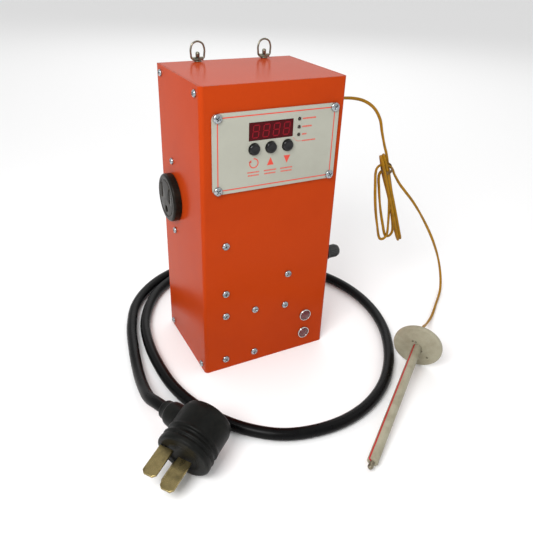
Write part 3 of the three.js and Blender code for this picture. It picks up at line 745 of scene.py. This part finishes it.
smoothing = bpy.data.node_groups.new("smooth_faces", "GeometryNodeTree")
smoothing.interface.new_socket("Piece", in_out="INPUT", socket_type="NodeSocketGeometry")
smoothing.interface.new_socket("Smooth", in_out="OUTPUT", socket_type="NodeSocketGeometry")
smooth_faces = add_node(
    smoothing, "GeometryNodeSetShadeSmooth", Geometry=smoothing.nodes.new("NodeGroupInput").outputs[0],
)
smoothing.links.new(smooth_faces.outputs[0], smoothing.nodes.new("NodeGroupOutput").inputs[0])


def round_cad(name, width):
    """Merges, rounds and smooths a CAD node that stays, by live modifiers."""
    modifiers = nodes[name].modifiers
    modifiers.new("weld", "WELD").merge_threshold = 1e-6
    modifiers.new("smooth", "NODES").node_group = smoothing
    rounding = modifiers.new("rounding", "BEVEL")
    rounding.width = width
    rounding.segments = 3
    rounding.angle_limit = math.radians(50)
    rounding.harden_normals = True


dress_cad("probe_tube", striped)
dress_cad("probe_tip", bead_metal)

# Two bare wires wind round each other over the tip's bead.
tip_start = PROBE_HEAD + probe_axis * (probe_length - BEAD) * MM
wires = []
for phase in (0, math.pi):
    twisted = []
    for i in range(40):
        t = i / 39
        angle = phase + 2.6 * math.tau * t
        swell = 2.1 * math.sin(math.pi * (0.25 + 0.65 * t))
        ring = (probe_side * math.cos(angle) + probe_up * math.sin(angle)) * swell * MM
        twisted.append(tip_start + probe_axis * (t * BEAD - 0.5) * MM + ring)
    wires.append(swept(twisted, ring_section(0.85 * MM, 10)))
place("probe_tip_wires", joined(*wires), bead_metal, "steel")
Vector(LEAD_UPPER[0]) * MM

# ---- casing
# Folded sheet steel in a glossy orange-red powder coat. The cover is the front and both sides; the
# chassis is the back, top and bottom, with flanges for the cover's screws.
powder = surface(
    "orange_powder_coat", (174, 59, 16), (160, 51, 14), 0.2, bump=0.0, specular=0.035, Patch_Scale=9.0,
    Grain_Scale=300.0, Spread=0.05,
)
tree = powder.node_tree
shader = tree.nodes["Principled BSDF"]
peel = noise(tree, 330.0, 1.0)
ripple = noise(tree, 46.0, 2.0)
coat_height = maths(tree, "MULTIPLY_ADD", ripple, 2.2, peel)
coat_bump = add_node(tree, "ShaderNodeBump", Strength=0.08, Distance=0.0005, Height=coat_height)
tree.links.new(coat_bump.outputs[0], shader.inputs["Normal"])
add_edge_wear(powder, (120, 52, 26), radius=0.0007, noise_scale=90.0)
place("cover_shell", eased("cover", 0.3 * MM, 2, 50), powder, "paint", "cover")
place("chassis_shell", eased("chassis", 0.3 * MM, 2, 50), powder, "paint", "chassis")

# ---- screws
# Zinc-plated pan-head screws with cross recesses. One tree makes the screw and stands a copy on
# each point; each point carries the turn that faces its head outwards.
def geometry_tree(name, values):
    """An empty tree that takes a mesh, these values and a finish. values maps a name to its kind."""
    made = bpy.data.node_groups.new(name, "GeometryNodeTree")
    for title, kind in {"Start": "Geometry", **values, "Finish": "Material"}.items():
        made.interface.new_socket(title, in_out="INPUT", socket_type="NodeSocket" + kind)
    made.interface.new_socket("Made", in_out="OUTPUT", socket_type="NodeSocketGeometry")
    return made, made.nodes.new("NodeGroupInput"), made.nodes.new("NodeGroupOutput")


def finish_tree(tree, pieces, given, result):
    """Makes instances real, gives all of it the finish, and sends it out."""
    real = add_node(tree, "GeometryNodeRealizeInstances", Geometry=pieces).outputs[0]
    done = add_node(
        tree, "GeometryNodeSetMaterial", Geometry=real, Material=given.outputs["Finish"],
    ).outputs[0]
    tree.links.new(done, result.inputs[0])


def joined_in(tree, *pieces):
    whole = add_node(tree, "GeometryNodeJoinGeometry")
    for piece in pieces:
        tree.links.new(piece, whole.inputs[0])
    return whole.outputs[0]


screw_tree, given, result = geometry_tree("pan_head_screws", {
    "Head Radius": "Float", "Head Height": "Float", "Shank Radius": "Float", "Shank Length": "Float",
    "Recess": "Float",
})
tree = screw_tree
head_radius, head_height = given.outputs["Head Radius"], given.outputs["Head Height"]


def moved(tree, geometry, **change):
    return add_node(tree, "GeometryNodeTransform", Geometry=geometry, **change).outputs[0]


def raised_by(tree, height):
    return add_node(tree, "ShaderNodeCombineXYZ", Z=height).outputs[0]


drum = add_node(
    tree, "GeometryNodeMeshCylinder",
    Vertices=40, Side_Segments=9, Fill_Segments=3, Radius=head_radius, Depth=head_height,
).outputs["Mesh"]
drum = moved(tree, drum, Translation=raised_by(tree, times(tree, head_height, 0.5)))
spot = add_node(
    tree, "ShaderNodeSeparateXYZ", Vector=add_node(tree, "GeometryNodeInputPosition").outputs[0],
)
rise = times(tree, maths(tree, "DIVIDE", spot.outputs[2], head_height), 0.93)
narrowed = maths(tree, "SQRT", maths(tree, "SUBTRACT", 1.0, maths(tree, "POWER", rise, 3.6)))
crown = add_node(
    tree, "ShaderNodeCombineXYZ",
    X=times(tree, spot.outputs[0], narrowed),
    Y=times(tree, spot.outputs[1], narrowed),
    Z=spot.outputs[2],
).outputs[0]
head = add_node(tree, "GeometryNodeSetPosition", Geometry=drum, Position=crown).outputs[0]
wing = add_node(
    tree, "ShaderNodeCombineXYZ",
    X=times(tree, head_radius, 1.12),
    Y=times(tree, head_radius, 0.25),
    Z=times(tree, given.outputs["Recess"], 2.0),
).outputs[0]
slot_cube = moved(
    tree, add_node(tree, "GeometryNodeMeshCube", Size=wing).outputs[0],
    Translation=raised_by(tree, head_height),
)
cross_cube = moved(tree, slot_cube, Rotation=(0, 0, math.pi / 2))
recessed = add_node(tree, "GeometryNodeMeshBoolean", {"operation": "DIFFERENCE"}, i0=head)
for cube in (slot_cube, cross_cube):
    tree.links.new(cube, recessed.inputs[1])
shank = add_node(
    tree, "GeometryNodeMeshCylinder",
    Vertices=20, Radius=given.outputs["Shank Radius"], Depth=given.outputs["Shank Length"],
).outputs["Mesh"]
shank = moved(tree, shank, Translation=raised_by(tree, times(tree, given.outputs["Shank Length"], -0.5)))
whole = joined_in(tree, recessed.outputs[0], shank)
facing = add_node(tree, "GeometryNodeInputNamedAttribute", {"data_type": "FLOAT_VECTOR"}, Name="facing")
stood = add_node(
    tree, "GeometryNodeInstanceOnPoints",
    Points=given.outputs["Start"], Instance=whole,
    Rotation=add_node(tree, "FunctionNodeEulerToRotation", i0=facing.outputs[0]).outputs[0],
).outputs[0]
finish_tree(tree, stood, given, result)

zinc = surface(
    "bright_zinc", (176, 182, 186), (118, 122, 124), 0.22, bump=0.08, metallic=1.0, Amount=0.6,
    Patch_Scale=180.0, Grain_Scale=1800.0,
)
spins = random.Random(7)


def grown(tree, mesh, **sizes):
    """What a geometry tree makes of a mesh, as a plain mesh."""
    maker = bpy.data.objects.new("maker", mesh)
    scene.collection.objects.link(maker)
    modifier = maker.modifiers.new("maker", "NODES")
    modifier.node_group = tree
    for socket in tree.interface.items_tree:
        key = socket.name.replace(" ", "_")
        if key in sizes:
            modifier[socket.identifier] = sizes[key]
    return made_by(maker)


def screws(name, cad_names, outward, seat):
    """A set of like screws: heads on the seat plane, each turned by its own amount."""
    points, turns = [], []
    for cad_name in cad_names:
        low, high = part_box(cad_name)
        middle = (low + high) / 2
        way = outward(middle)
        along = max(range(3), key=lambda i: abs(way[i]))
        radius = max((high - low)[i] for i in range(3) if i != along) / 2
        middle[along] = seat(middle)
        points.append(middle)
        spin = Matrix.Rotation(spins.uniform(0, math.tau), 3, "Z")
        turns.append((Vector(way).to_track_quat("Z", "Y").to_matrix() @ spin).to_euler())
    mesh = bpy.data.meshes.new("places")
    mesh.from_pydata(points, [], [])
    mesh.attributes.new("facing", "FLOAT_VECTOR", "POINT").data.foreach_set(
        "vector", [v for t in turns for v in t],
    )
    made = grown(
        screw_tree, mesh, Head_Radius=radius, Head_Height=0.0026, Shank_Radius=0.0019, Shank_Length=0.007,
        Recess=radius * 0.33, Finish=zinc,
    )
    return place(name, crisp(made, 35), zinc, "zinc", *cad_names)


cover_low, cover_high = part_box("cover")
screws(
    "cover_side_screws", [f"side_screw_{i}" for i in range(1, 9)],
    lambda spot: (math.copysign(1, spot.x), 0, 0), lambda spot: math.copysign(cover_high.x, spot.x),
)
screws(
    "cover_front_screws", [f"panel_screw_{i}" for i in range(1, 9)],
    lambda spot: (0, -1, 0), lambda spot: cover_low.y,
)
plate_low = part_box("faceplate")[0]
screws(
    "plate_screws", [f"faceplate_screw_{i}" for i in range(1, 5)],
    lambda spot: (0, -1, 0), lambda spot: plate_low.y,
)
screws(
    "outlet_screws", ["receptacle_screw_1", "receptacle_screw_2"],
    lambda spot: (-1, 0, 0), lambda spot: -cover_high.x,
)

# ---- faceplate
# A satin grey plate, printed in red: a rule round its edge, an icon under each button, and short
# legends. The legends are plain dashes, with no lettering.
plate_paint = surface(
    "satin_plate", (165, 165, 153), (148, 148, 136), 0.38, bump=0.05, specular=0.3, Patch_Scale=14.0,
    Grain_Scale=1600.0, Spread=0.1,
)
place("keypad_plate", eased("faceplate", 0.35 * MM), plate_paint, "plate", "faceplate")

PRINT_THICK = 0.06 * MM
INK_LINE = 1.1 * MM
front_y = plate_low.y


def printed(points):
    """A flat outline in X and Z, as a thin film on the plate."""
    shape = bmesh.new()
    film = [shape.verts.new((x, front_y + 0.02 * MM, z)) for x, z in points]
    face = shape.faces.new(film)
    grown_face = bmesh.ops.extrude_face_region(shape, geom=[face])
    raised = [v for v in grown_face["geom"] if isinstance(v, bmesh.types.BMVert)]
    bmesh.ops.translate(shape, verts=raised, vec=(0, -PRINT_THICK - 0.02 * MM, 0))
    bmesh.ops.recalc_face_normals(shape, faces=shape.faces)
    return mesh_of(shape)


def print_bar(x_low, z_low, x_high, z_high):
    films.append(printed([(x_low, z_low), (x_high, z_low), (x_high, z_high), (x_low, z_high)]))


corners = [middle_of(f"faceplate_screw_{i}") for i in range(1, 5)]
low_x, high_x = min(spot.x for spot in corners), max(spot.x for spot in corners)
low_z, high_z = min(spot.z for spot in corners), max(spot.z for spot in corners)
films = []
for z in (low_z, high_z):
    print_bar(low_x, z - INK_LINE / 2, high_x, z + INK_LINE / 2)
for x in (low_x, high_x):
    print_bar(x - INK_LINE / 2, low_z + INK_LINE / 2, x + INK_LINE / 2, high_z - INK_LINE / 2)

BUTTON_NAMES = ["start_button", "up_button", "down_button"]
icon_z = middle_of("start_button").z - 14.4 * MM
ICON = 4.7 * MM
start_x, up_x, down_x = (middle_of(name).x for name in BUTTON_NAMES)
arc = [math.radians(95 - 300 * i / 28) for i in range(29)]
outer, inner = (
    [(start_x + reach * math.cos(a), icon_z + reach * math.sin(a)) for a in arc]
    for reach in (ICON + 0.5 * MM, ICON - 0.6 * MM)
)
films.append(printed(outer + inner[::-1]))
tail = Vector((start_x + ICON * math.cos(arc[-1]), 0, icon_z + ICON * math.sin(arc[-1])))
films.append(printed([
    (tail.x - 1.6 * MM, tail.z - 0.5 * MM), (tail.x + 1.5 * MM, tail.z - 1.2 * MM),
    (tail.x + 1.3 * MM, tail.z + 1.9 * MM),
]))
for x, way in ((up_x, 1), (down_x, -1)):
    films.append(printed([
        (x - 3.8 * MM, icon_z - way * 4 * MM), (x + 3.8 * MM, icon_z - way * 4 * MM),
        (x, icon_z + way * 4.2 * MM),
    ]))


def legend(x_low, x_high, z, height=1.3 * MM):
    """A printed line of dashes of uneven lengths, as a legend seen from too far off to read."""
    x = x_low
    while x < x_high - 0.5 * MM:
        length = min(dashes.uniform(0.7, 1.5) * MM, x_high - x)
        print_bar(x, z - height / 2, x + length, z + height / 2)
        x += length + 0.35 * MM


dashes = random.Random(3)
for x in (start_x, up_x, down_x):
    legend(x - 7 * MM, x + 7 * MM, icon_z - 9.3 * MM)
    legend(x - 6.4 * MM, x + 6.4 * MM, icon_z - 12.6 * MM)
lamp_x, lamp_zs = plate_low.x + (25.4 + 69) * MM, [292.3 * MM, 284.2 * MM, 276.4 * MM]
for z, reach in zip(lamp_zs, (19, 15, 9)):
    legend(lamp_x + 3.6 * MM, lamp_x + reach * MM, z, 1.5 * MM)
curl = [
    (lamp_x + (9.5 * t - 6.4) * MM, lamp_zs[-1] - (2.2 + 4.4 * math.sin(math.pi / 2 * min(1, t * 1.4))) * MM)
    for t in (i / 12 for i in range(13))
]
films.append(printed(curl + [(x, z - 0.4 * MM) for x, z in reversed(curl)]))
legend(lamp_x + 4 * MM, lamp_x + 20 * MM, lamp_zs[-1] - 6.8 * MM, 1.3 * MM)
red_ink = surface(
    "red_ink", (206, 58, 40), (190, 70, 56), 0.45, Amount=0.4, Patch_Scale=120.0, Grain_Scale=1500.0,
)
place("plate_print", joined(*films), red_ink, "plate")

# ---- display
# Four seven-segment figures, unlit, behind a dark red acrylic window.
window_paint = surface(
    "dark_red_acrylic", (66, 5, 11), (76, 8, 15), 0.16, bump=0.02, specular=0.12, Amount=0.4,
    Patch_Scale=60.0, Spread=0.04,
)
place("display_pane", eased("display_window", 0.25 * MM), window_paint, "window", "display_window")
window_low, window_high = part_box("display_window")
DIGITS = 4
FIGURE = {"width": 6.4 * MM, "height": 12.2 * MM, "stroke": 1.15 * MM, "gap": 0.25 * MM, "lean": 0.12}


def segment_outlines(x, z):
    """The seven bars of an 8, leaning a little to the right."""
    w, h, s, g = FIGURE["width"] / 2, FIGURE["height"] / 2, FIGURE["stroke"] / 2, FIGURE["gap"]
    bars = [[(-w + g + s, y), (w - g - s, y)] for y in (-h, 0, h)]
    bars += [[(side * w, low + g + s), (side * w, low + h - g - s)] for side in (-1, 1) for low in (-h, 0)]
    for (x1, z1), (x2, z2) in bars:
        if z1 == z2:
            outline = [(x1 - s, z1), (x1, z1 - s), (x2, z2 - s), (x2 + s, z2), (x2, z2 + s), (x1, z1 + s)]
        else:
            outline = [(x1, z1 - s), (x1 + s, z1), (x2 + s, z2), (x2, z2 + s), (x2 - s, z2), (x1 - s, z1)]
        yield [(x + px + pz * FIGURE["lean"], z + pz) for px, pz in outline]


front_y = window_low.y
window_middle = middle_of("display_window")
pitch = (window_high.x - window_low.x) / (DIGITS + 0.3)
figures = [
    printed(outline)
    for i in range(DIGITS)
    for outline in segment_outlines(window_middle.x + (i - (DIGITS - 1) / 2) * pitch, window_middle.z)
]
unlit = surface("unlit_segments", (126, 14, 28), (108, 12, 24), 0.22, specular=0.12, Grain_Scale=1500.0)
place("display_figures", joined(*figures), unlit, "window")

# Three small status lamps stand in the plate to the right of the display.
smoked = surface("smoked_lens", (34, 12, 12), (54, 22, 18), 0.18, Amount=0.3, Grain_Scale=1200.0)
lamp_profile = softened([(0, -1.2), (1.55, -1.2), (1.55, 0.35), (1.1, 0.9), (0, 1.15)], 0.4)
lamps = [turned(lamp_profile, Vector((lamp_x, plate_low.y, z)), (0, -1, 0), 24) for z in lamp_zs]
place("status_lamps", joined(*lamps), smoked, "black_plastic")

# ---- buttons
# Three round black caps on stems. Each travels straight back on to its own switch.
cap_plastic = surface(
    "glossy_black_cap", (9, 9, 10), (24, 24, 24), 0.2, bump=0.06, specular=0.35, Amount=0.4,
    Patch_Scale=120.0, Grain_Scale=1400.0, Spread=0.12,
)
for name in BUTTON_NAMES:
    low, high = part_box(name)
    radius = (high.x - low.x) / 2 / MM
    depth = (high.y - low.y) / MM
    rim = (high.y - plate_low.y) / MM
    cap_profile = softened([
        (0, 0), (2.4, 0), (2.4, rim - 5), (radius, rim - 4.2), (radius, rim + 1.4),
        (radius * 0.96, depth - 1.2), (radius * 0.72, depth - 0.2), (radius * 0.3, depth - 0.55),
        (0, depth - 0.6),
    ], 0.9)
    foot = middle_of(name, y=high.y)
    place(
        name + "_cap", turned(cap_profile, foot, (0, -1, 0)), cap_plastic, "black_plastic", name, body=name,
    )

# ---- pilot lamps
# Two chrome-ringed pilot lamps. Each lens is dark red, with moulded rings under its face.
chrome = surface(
    "bright_chrome", (214, 214, 212), (170, 170, 168), 0.12, bump=0.03, metallic=1.0, Amount=0.4,
    Patch_Scale=150.0, Grain_Scale=1800.0, Spread=0.1,
)
lens_red = surface(
    "dark_red_lens", (92, 14, 22), (66, 10, 16), 0.14, bump=0.05, Amount=0.6, Patch_Scale=260.0,
    Spread=0.08,
)
lens_shader = lens_red.node_tree.nodes["Principled BSDF"]
lens_shader.inputs["Coat Weight"].default_value = 0.6
lens_shader.inputs["Coat Roughness"].default_value = 0.05
for i in (1, 2):
    low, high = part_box(f"pilot_bezel_{i}")
    lens_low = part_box(f"pilot_lens_{i}")[0]
    at = middle_of(f"pilot_bezel_{i}", y=cover_low.y)
    radius = (high.x - low.x) / 2 / MM
    ring = softened([
        (4.6, -16), (5.9, -16), (5.9, 0.3), (radius, 0.3), (radius, 1.3), (radius - 0.5, 2.6),
        (radius - 1.3, 2.6), (radius - 1.6, 0.9), (4.6, 0.9), (4.6, -16),
    ], 0.35)
    place(f"pilot_ring_{i}", turned(ring, at, (0, -1, 0)), chrome, "chrome", f"pilot_bezel_{i}")
    stands = (cover_low.y - lens_low.y) / MM
    lens_profile = softened([
        (0, -14), (4.3, -14), (4.3, 1.0), (radius - 1.8, 1.1), (radius - 1.9, stands - 1.2),
        (radius - 2.4, stands - 0.6), (4.1, stands - 0.35), (3.9, stands - 0.75), (3.4, stands - 0.3),
        (2.0, stands - 0.15), (1.8, stands - 0.5),
        (1.4, stands - 0.05), (0, stands),
    ], 0.25)
    place(
        f"pilot_glass_{i}", turned(lens_profile, at, (0, -1, 0)), lens_red, "red_lens",
        f"pilot_lens_{i}",
    )

# ---- receptacle
# The outlet for the kiln's plug: a moulded phenolic body with two blade slots and a round earth hole,
# each with a brass contact down inside it.
outlet_low, outlet_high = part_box("receptacle")
outlet_at = middle_of("receptacle", x=-cover_high.x)
outlet_radius = (outlet_high.y - outlet_low.y) / 2 / MM
outlet_stands = (-cover_high.x - outlet_low.x) / MM
outlet_profile = softened([
    (0, -26), (outlet_radius - 3, -26), (outlet_radius - 3, 0.3), (outlet_radius, 0.3),
    (outlet_radius, outlet_stands - 1.6), (outlet_radius - 1.6, outlet_stands),
    (outlet_radius - 5.2, outlet_stands), (outlet_radius - 5.6, outlet_stands - 0.7),
    (outlet_radius - 6.4, outlet_stands - 0.7), (outlet_radius - 6.8, outlet_stands),
    (0, outlet_stands),
], 0.7)
SLOT = {"apart": 24, "wide": 3.4, "low": -3, "high": 15}
EARTH = {"below": 13, "radius": 4.2}
SOCKET_DEPTH = 21.5
outlet = turned(outlet_profile, outlet_at, (-1, 0, 0), 96)
face_x = outlet_low.x - 1 * MM
floor_x = outlet_low.x + SOCKET_DEPTH * MM
slots = []
for side in (-1, 1):
    y = outlet_at.y + side * SLOT["apart"] / 2 * MM
    half = SLOT["wide"] / 2 * MM
    slots.append(block_mesh(
        (face_x, y - half, outlet_at.z + SLOT["low"] * MM),
        (floor_x, y + half, outlet_at.z + SLOT["high"] * MM),
    ))
earth_at = Vector((outlet_low.x, outlet_at.y, outlet_at.z - EARTH["below"] * MM))
earth_profile = [(0, -SOCKET_DEPTH), (EARTH["radius"], -SOCKET_DEPTH), (EARTH["radius"], 1), (0, 1)]
slots.append(turned(earth_profile, earth_at, (-1, 0, 0), 32))
outlet_mesh = crisp(bevelled(carved(outlet, *slots), 0.3 * MM, 2, 60), 40)
phenolic = surface(
    "brown_black_phenolic", (20, 18, 15), (44, 39, 31), 0.3, bump=0.1, depth=0.0003, specular=0.12,
    Patch_Scale=50.0, Spread=0.15,
)
add_edge_wear(phenolic, (92, 84, 72), radius=0.0009, noise_scale=200.0)
place("outlet_body", outlet_mesh, phenolic, "black_plastic", "receptacle")
contacts = []
for side in (-1, 1):
    y = outlet_at.y + side * SLOT["apart"] / 2 * MM
    for cheek in (-1, 1):
        inner = y + cheek * 0.9 * MM
        outer = y + cheek * 1.6 * MM
        contacts.append(block_mesh(
            (outlet_low.x + 6 * MM, min(inner, outer), outlet_at.z - 2 * MM),
            (floor_x - 0.2 * MM, max(inner, outer), outlet_at.z + 14 * MM),
        ))
sleeve_foot = -SOCKET_DEPTH + 0.3
contact_profile = [(3.3, sleeve_foot), (4.05, sleeve_foot), (4.05, -6), (3.3, -6), (3.3, sleeve_foot)]
contacts.append(turned(contact_profile, earth_at, (-1, 0, 0), 32))
place("outlet_contacts", joined(*contacts), brass, "brass")

# ---- fuse
# A panel fuse holder on the right side. Its cap turns a quarter, and has a ribbed grip and a slot.
rib_tree, given, result = geometry_tree("grip_ribs", {
    "Count": "Int", "Radius": "Float", "Rib": "Vector", "Middle": "Vector", "Turn": "Vector",
})
tree = rib_tree
hoop = add_node(
    tree, "GeometryNodeMeshCircle", Vertices=given.outputs["Count"], Radius=given.outputs["Radius"],
).outputs[0]
one_rib = add_node(
    tree, "GeometryNodeMeshCube", Size=given.outputs["Rib"], Vertices_X=2, Vertices_Y=2, Vertices_Z=2,
).outputs[0]
step_angle = maths(tree, "DIVIDE", math.tau, given.outputs["Count"])
rib_angle = times(tree, add_node(tree, "GeometryNodeInputIndex").outputs[0], step_angle)
ribs_round = add_node(
    tree, "GeometryNodeInstanceOnPoints", Points=hoop, Instance=one_rib,
    Rotation=add_node(tree, "FunctionNodeEulerToRotation", i0=raised_by(tree, rib_angle)).outputs[0],
).outputs[0]
stood = moved(
    tree, ribs_round, Translation=given.outputs["Middle"],
    Rotation=add_node(tree, "FunctionNodeEulerToRotation", i0=given.outputs["Turn"]).outputs[0],
)
finish_tree(tree, joined_in(tree, given.outputs["Start"], stood), given, result)

cap_low, cap_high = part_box("fuse_cap")
fuse_at = middle_of("fuse_cap", x=cover_high.x)
moulded = surface(
    "moulded_black", (24, 24, 25), (50, 50, 49), 0.34, bump=0.12, Patch_Scale=90.0, Grain_Scale=1300.0,
    Spread=0.15,
)
holder_profile = softened([(0, -30), (5.9, -30), (5.9, 0.3), (8.8, 0.3), (8.8, 2.2), (7.6, 3), (0, 3)], 0.5)
place("fuse_base", turned(holder_profile, fuse_at, (1, 0, 0)), moulded, "black_plastic", "fuse_holder")
cap_radius = (cap_high.z - cap_low.z) / 2 / MM
cap_reach = (cap_high.x - cover_high.x) / MM
grip_radius = cap_radius - 0.5
cap_profile = softened([
    (0, 3.3), (grip_radius, 3.3), (grip_radius, cap_reach - 3.4), (cap_radius - 1.2, cap_reach - 1.2),
    (cap_radius - 2.6, cap_reach), (0, cap_reach),
], 0.6)
cap_slot = block_mesh(
    (cap_high.x - 1.6 * MM, fuse_at.y - 0.8 * MM, cap_low.z - MM),
    (cap_high.x + 2 * MM, fuse_at.y + 0.8 * MM, cap_high.z + MM),
)
plain_cap = carved(turned(cap_profile, fuse_at, (1, 0, 0)), cap_slot)
ribbed_cap = grown(
    rib_tree, plain_cap, Count=26, Radius=(grip_radius - 0.1) * MM,
    Rib=(1.2 * MM, 0.85 * MM, (cap_reach - 8.2) * MM),
    Middle=(cover_high.x + (3.9 + (cap_reach - 8.2) / 2) * MM, fuse_at.y, fuse_at.z),
    Turn=(0, math.pi / 2, 0), Finish=moulded,
)
place("fuse_grip", crisp(ribbed_cap, 35), moulded, "black_plastic", "fuse_cap", body="fuse_cap")

# ---- lead grommet
# A rubber grommet lines the hole where the thermocouple lead leaves the right side.
grommet_at = middle_of("lead_grommet", x=cover_high.x)
bore = LEAD_WIDTH / 2 / MM + 0.3
grommet_profile = softened([
    (bore, -3.4), (6.4, -3.4), (6.4, -1.8), (4.1, -1.8), (4.1, 0.3), (6.4, 0.3), (6, 2.6), (3.4, 6),
    (bore, 6), (bore, -3.4),
], 0.5)
place("grommet", turned(grommet_profile, grommet_at, (1, 0, 0), 48), rubber, "rubber", "lead_grommet")

# ---- hangers
# Two hanging loops of bent wire stand on the top plate near its back edge. Each wire's ends go into a
# cross bar that turns on a stud.
dark_steel = surface(
    "blued_steel", (150, 146, 130), (84, 80, 70), 0.3, bump=0.12, metallic=1.0, Amount=0.8,
    Patch_Scale=220.0, Grain_Scale=1500.0, Spread=0.25,
)
add_edge_wear(dark_steel, (196, 180, 140), radius=0.0005, noise_scale=300.0)
WIRE = 2.1
for i in (1, 2):
    loop_low, loop_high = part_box(f"hanger_loop_{i}")
    base = middle_of(f"hanger_stud_{i}", z=cad_low.z + cover_high.z)
    stud_profile = softened([
        (0, -6), (3.8, -6), (3.8, -1.8), (1.6, -1.8), (1.6, 0.3), (4, 0.3), (4, 1.2), (1.6, 1.2), (1.6, 5),
        (2.2, 5), (2.3, 8.6), (1.5, 10), (0, 10.4),
    ], 0.45)
    place(
        f"hanger_post_{i}", turned(stud_profile, base, (0, 0, 1), 40), dark_steel, "steel",
        f"hanger_stud_{i}",
    )
    half = (loop_high.x - loop_low.x) / 2 / MM - WIRE / 2
    crown_z = (loop_high.z - base.z) / MM - WIRE / 2
    bar_z = 3.1
    outline = [
        (-4.4, 0), (-6.9, 0.7), (-half + 0.2, 4.4), (-half, 9.5), (-half * 0.72, crown_z - bar_z - 2.3),
        (0, crown_z - bar_z),
        (half * 0.72, crown_z - bar_z - 2.3), (half, 9.5), (half - 0.2, 4.4), (6.9, 0.7), (4.4, 0),
    ]
    wire_line = smooth_route([base + Vector((x, 0, bar_z + z)) * MM for x, z in outline], 0.9 * MM)
    wire_mesh = swept(wire_line, ring_section(WIRE / 2 * MM, 14))
    bar = block_mesh(base + Vector((-6, -1.9, 1.5)) * MM, base + Vector((6, 1.9, 4.7)) * MM)
    stud_bore = turned([(0, 0), (1.9, 0), (1.9, 8), (0, 8)], base, (0, 0, 1), 24)
    pivot = bevelled(carved(bar, stud_bore), 0.5 * MM, 3, 40)
    place(
        f"hanger_wire_{i}", crisp(joined(wire_mesh, pivot), 40), dark_steel, "steel",
        f"hanger_loop_{i}", body=f"hanger_loop_{i}",
    )

# ---- inside the box
# Behind the panel: the circuit board and display, the transformer, two relays and the mains terminals.
board_green = surface(
    "solder_mask", (24, 84, 50), (16, 60, 38), 0.35, Amount=0.6, Patch_Scale=90.0, Grain_Scale=1200.0,
)
lamination = surface(
    "varnished_core", (92, 84, 72), (58, 52, 46), 0.45, bump=0.3, metallic=0.5, Amount=0.6,
    Patch_Scale=60.0, Grain_Scale=1400.0,
)
relay_shell = surface("relay_shell", (34, 40, 48), (56, 62, 70), 0.3, Amount=0.4, Grain_Scale=1200.0)
bare_steel = surface(
    "plated_steel", (150, 152, 150), (110, 110, 106), 0.35, metallic=1.0, Amount=0.6, Patch_Scale=120.0,
    Grain_Scale=1600.0,
)
for name, material in {
    "control_board": board_green,
    "display_module": moulded,
    "transformer": lamination,
    "relay_1": relay_shell,
    "relay_2": relay_shell,
    "terminal_block": moulded,
    "receptacle_yoke": bare_steel,
}.items():
    dress_cad(name, material)
for name in ("probe_tube", "probe_tip"):
    round_cad(name, 0.6 * MM)

# ---- floor and light
# A pale plain floor. A soft key light stands at the left and in front, a weak fill at the right and a
# broad light behind, in an even white surround.
floor_mesh = bpy.data.meshes.new("floor")
FLOOR = 6.0
floor_mesh.from_pydata(
    [(x * FLOOR, y * FLOOR, 0) for x, y in ((-1, -1), (1, -1), (1, 1), (-1, 1))], [], [(0, 1, 2, 3)],
)
floor = bpy.data.objects.new("floor", floor_mesh)
floor.location.z = cad_low.z - 0.1 * MM
scene.collection.objects.link(floor)
pale = bpy.data.materials.new("pale_floor")
pale.use_nodes = True
pale.node_tree.nodes["Principled BSDF"].inputs["Base Color"].default_value = (0.93, 0.93, 0.93, 1)
pale.node_tree.nodes["Principled BSDF"].inputs["Roughness"].default_value = 0.75
floor_mesh.materials.append(pale)


def softbox(name, at, target, size, power):
    """An area light that faces its target, with its size in metres and its power in watts."""
    lamp = bpy.data.lights.new(name, "AREA")
    lamp.shape = "RECTANGLE"
    lamp.size, lamp.size_y = size
    lamp.energy = power
    stand = bpy.data.objects.new(name, lamp)
    stand.location = at
    stand.rotation_mode = "QUATERNION"
    stand.rotation_quaternion = (Vector(target) - Vector(at)).to_track_quat("-Z", "Y")
    scene.collection.objects.link(stand)


softbox("key_light", (-0.6, -0.52, 0.82), (0, 0, 0.18), (0.45, 0.45), 8)
softbox("fill_light", (1.2, -0.5, 1.8), (0.1, 0, 0), (1.2, 1.2), 3)
softbox("back_light", (0.9, 1.7, 1.5), (0, 0.3, 0), (1.8, 1.4), 10)
world = bpy.data.worlds.new("studio")
world.use_nodes = True
world.node_tree.nodes["Background"].inputs["Color"].default_value = (1, 1, 1, 1)
world.node_tree.nodes["Background"].inputs["Strength"].default_value = 0.76
scene.world = world
scene.view_settings.view_transform = "Standard"
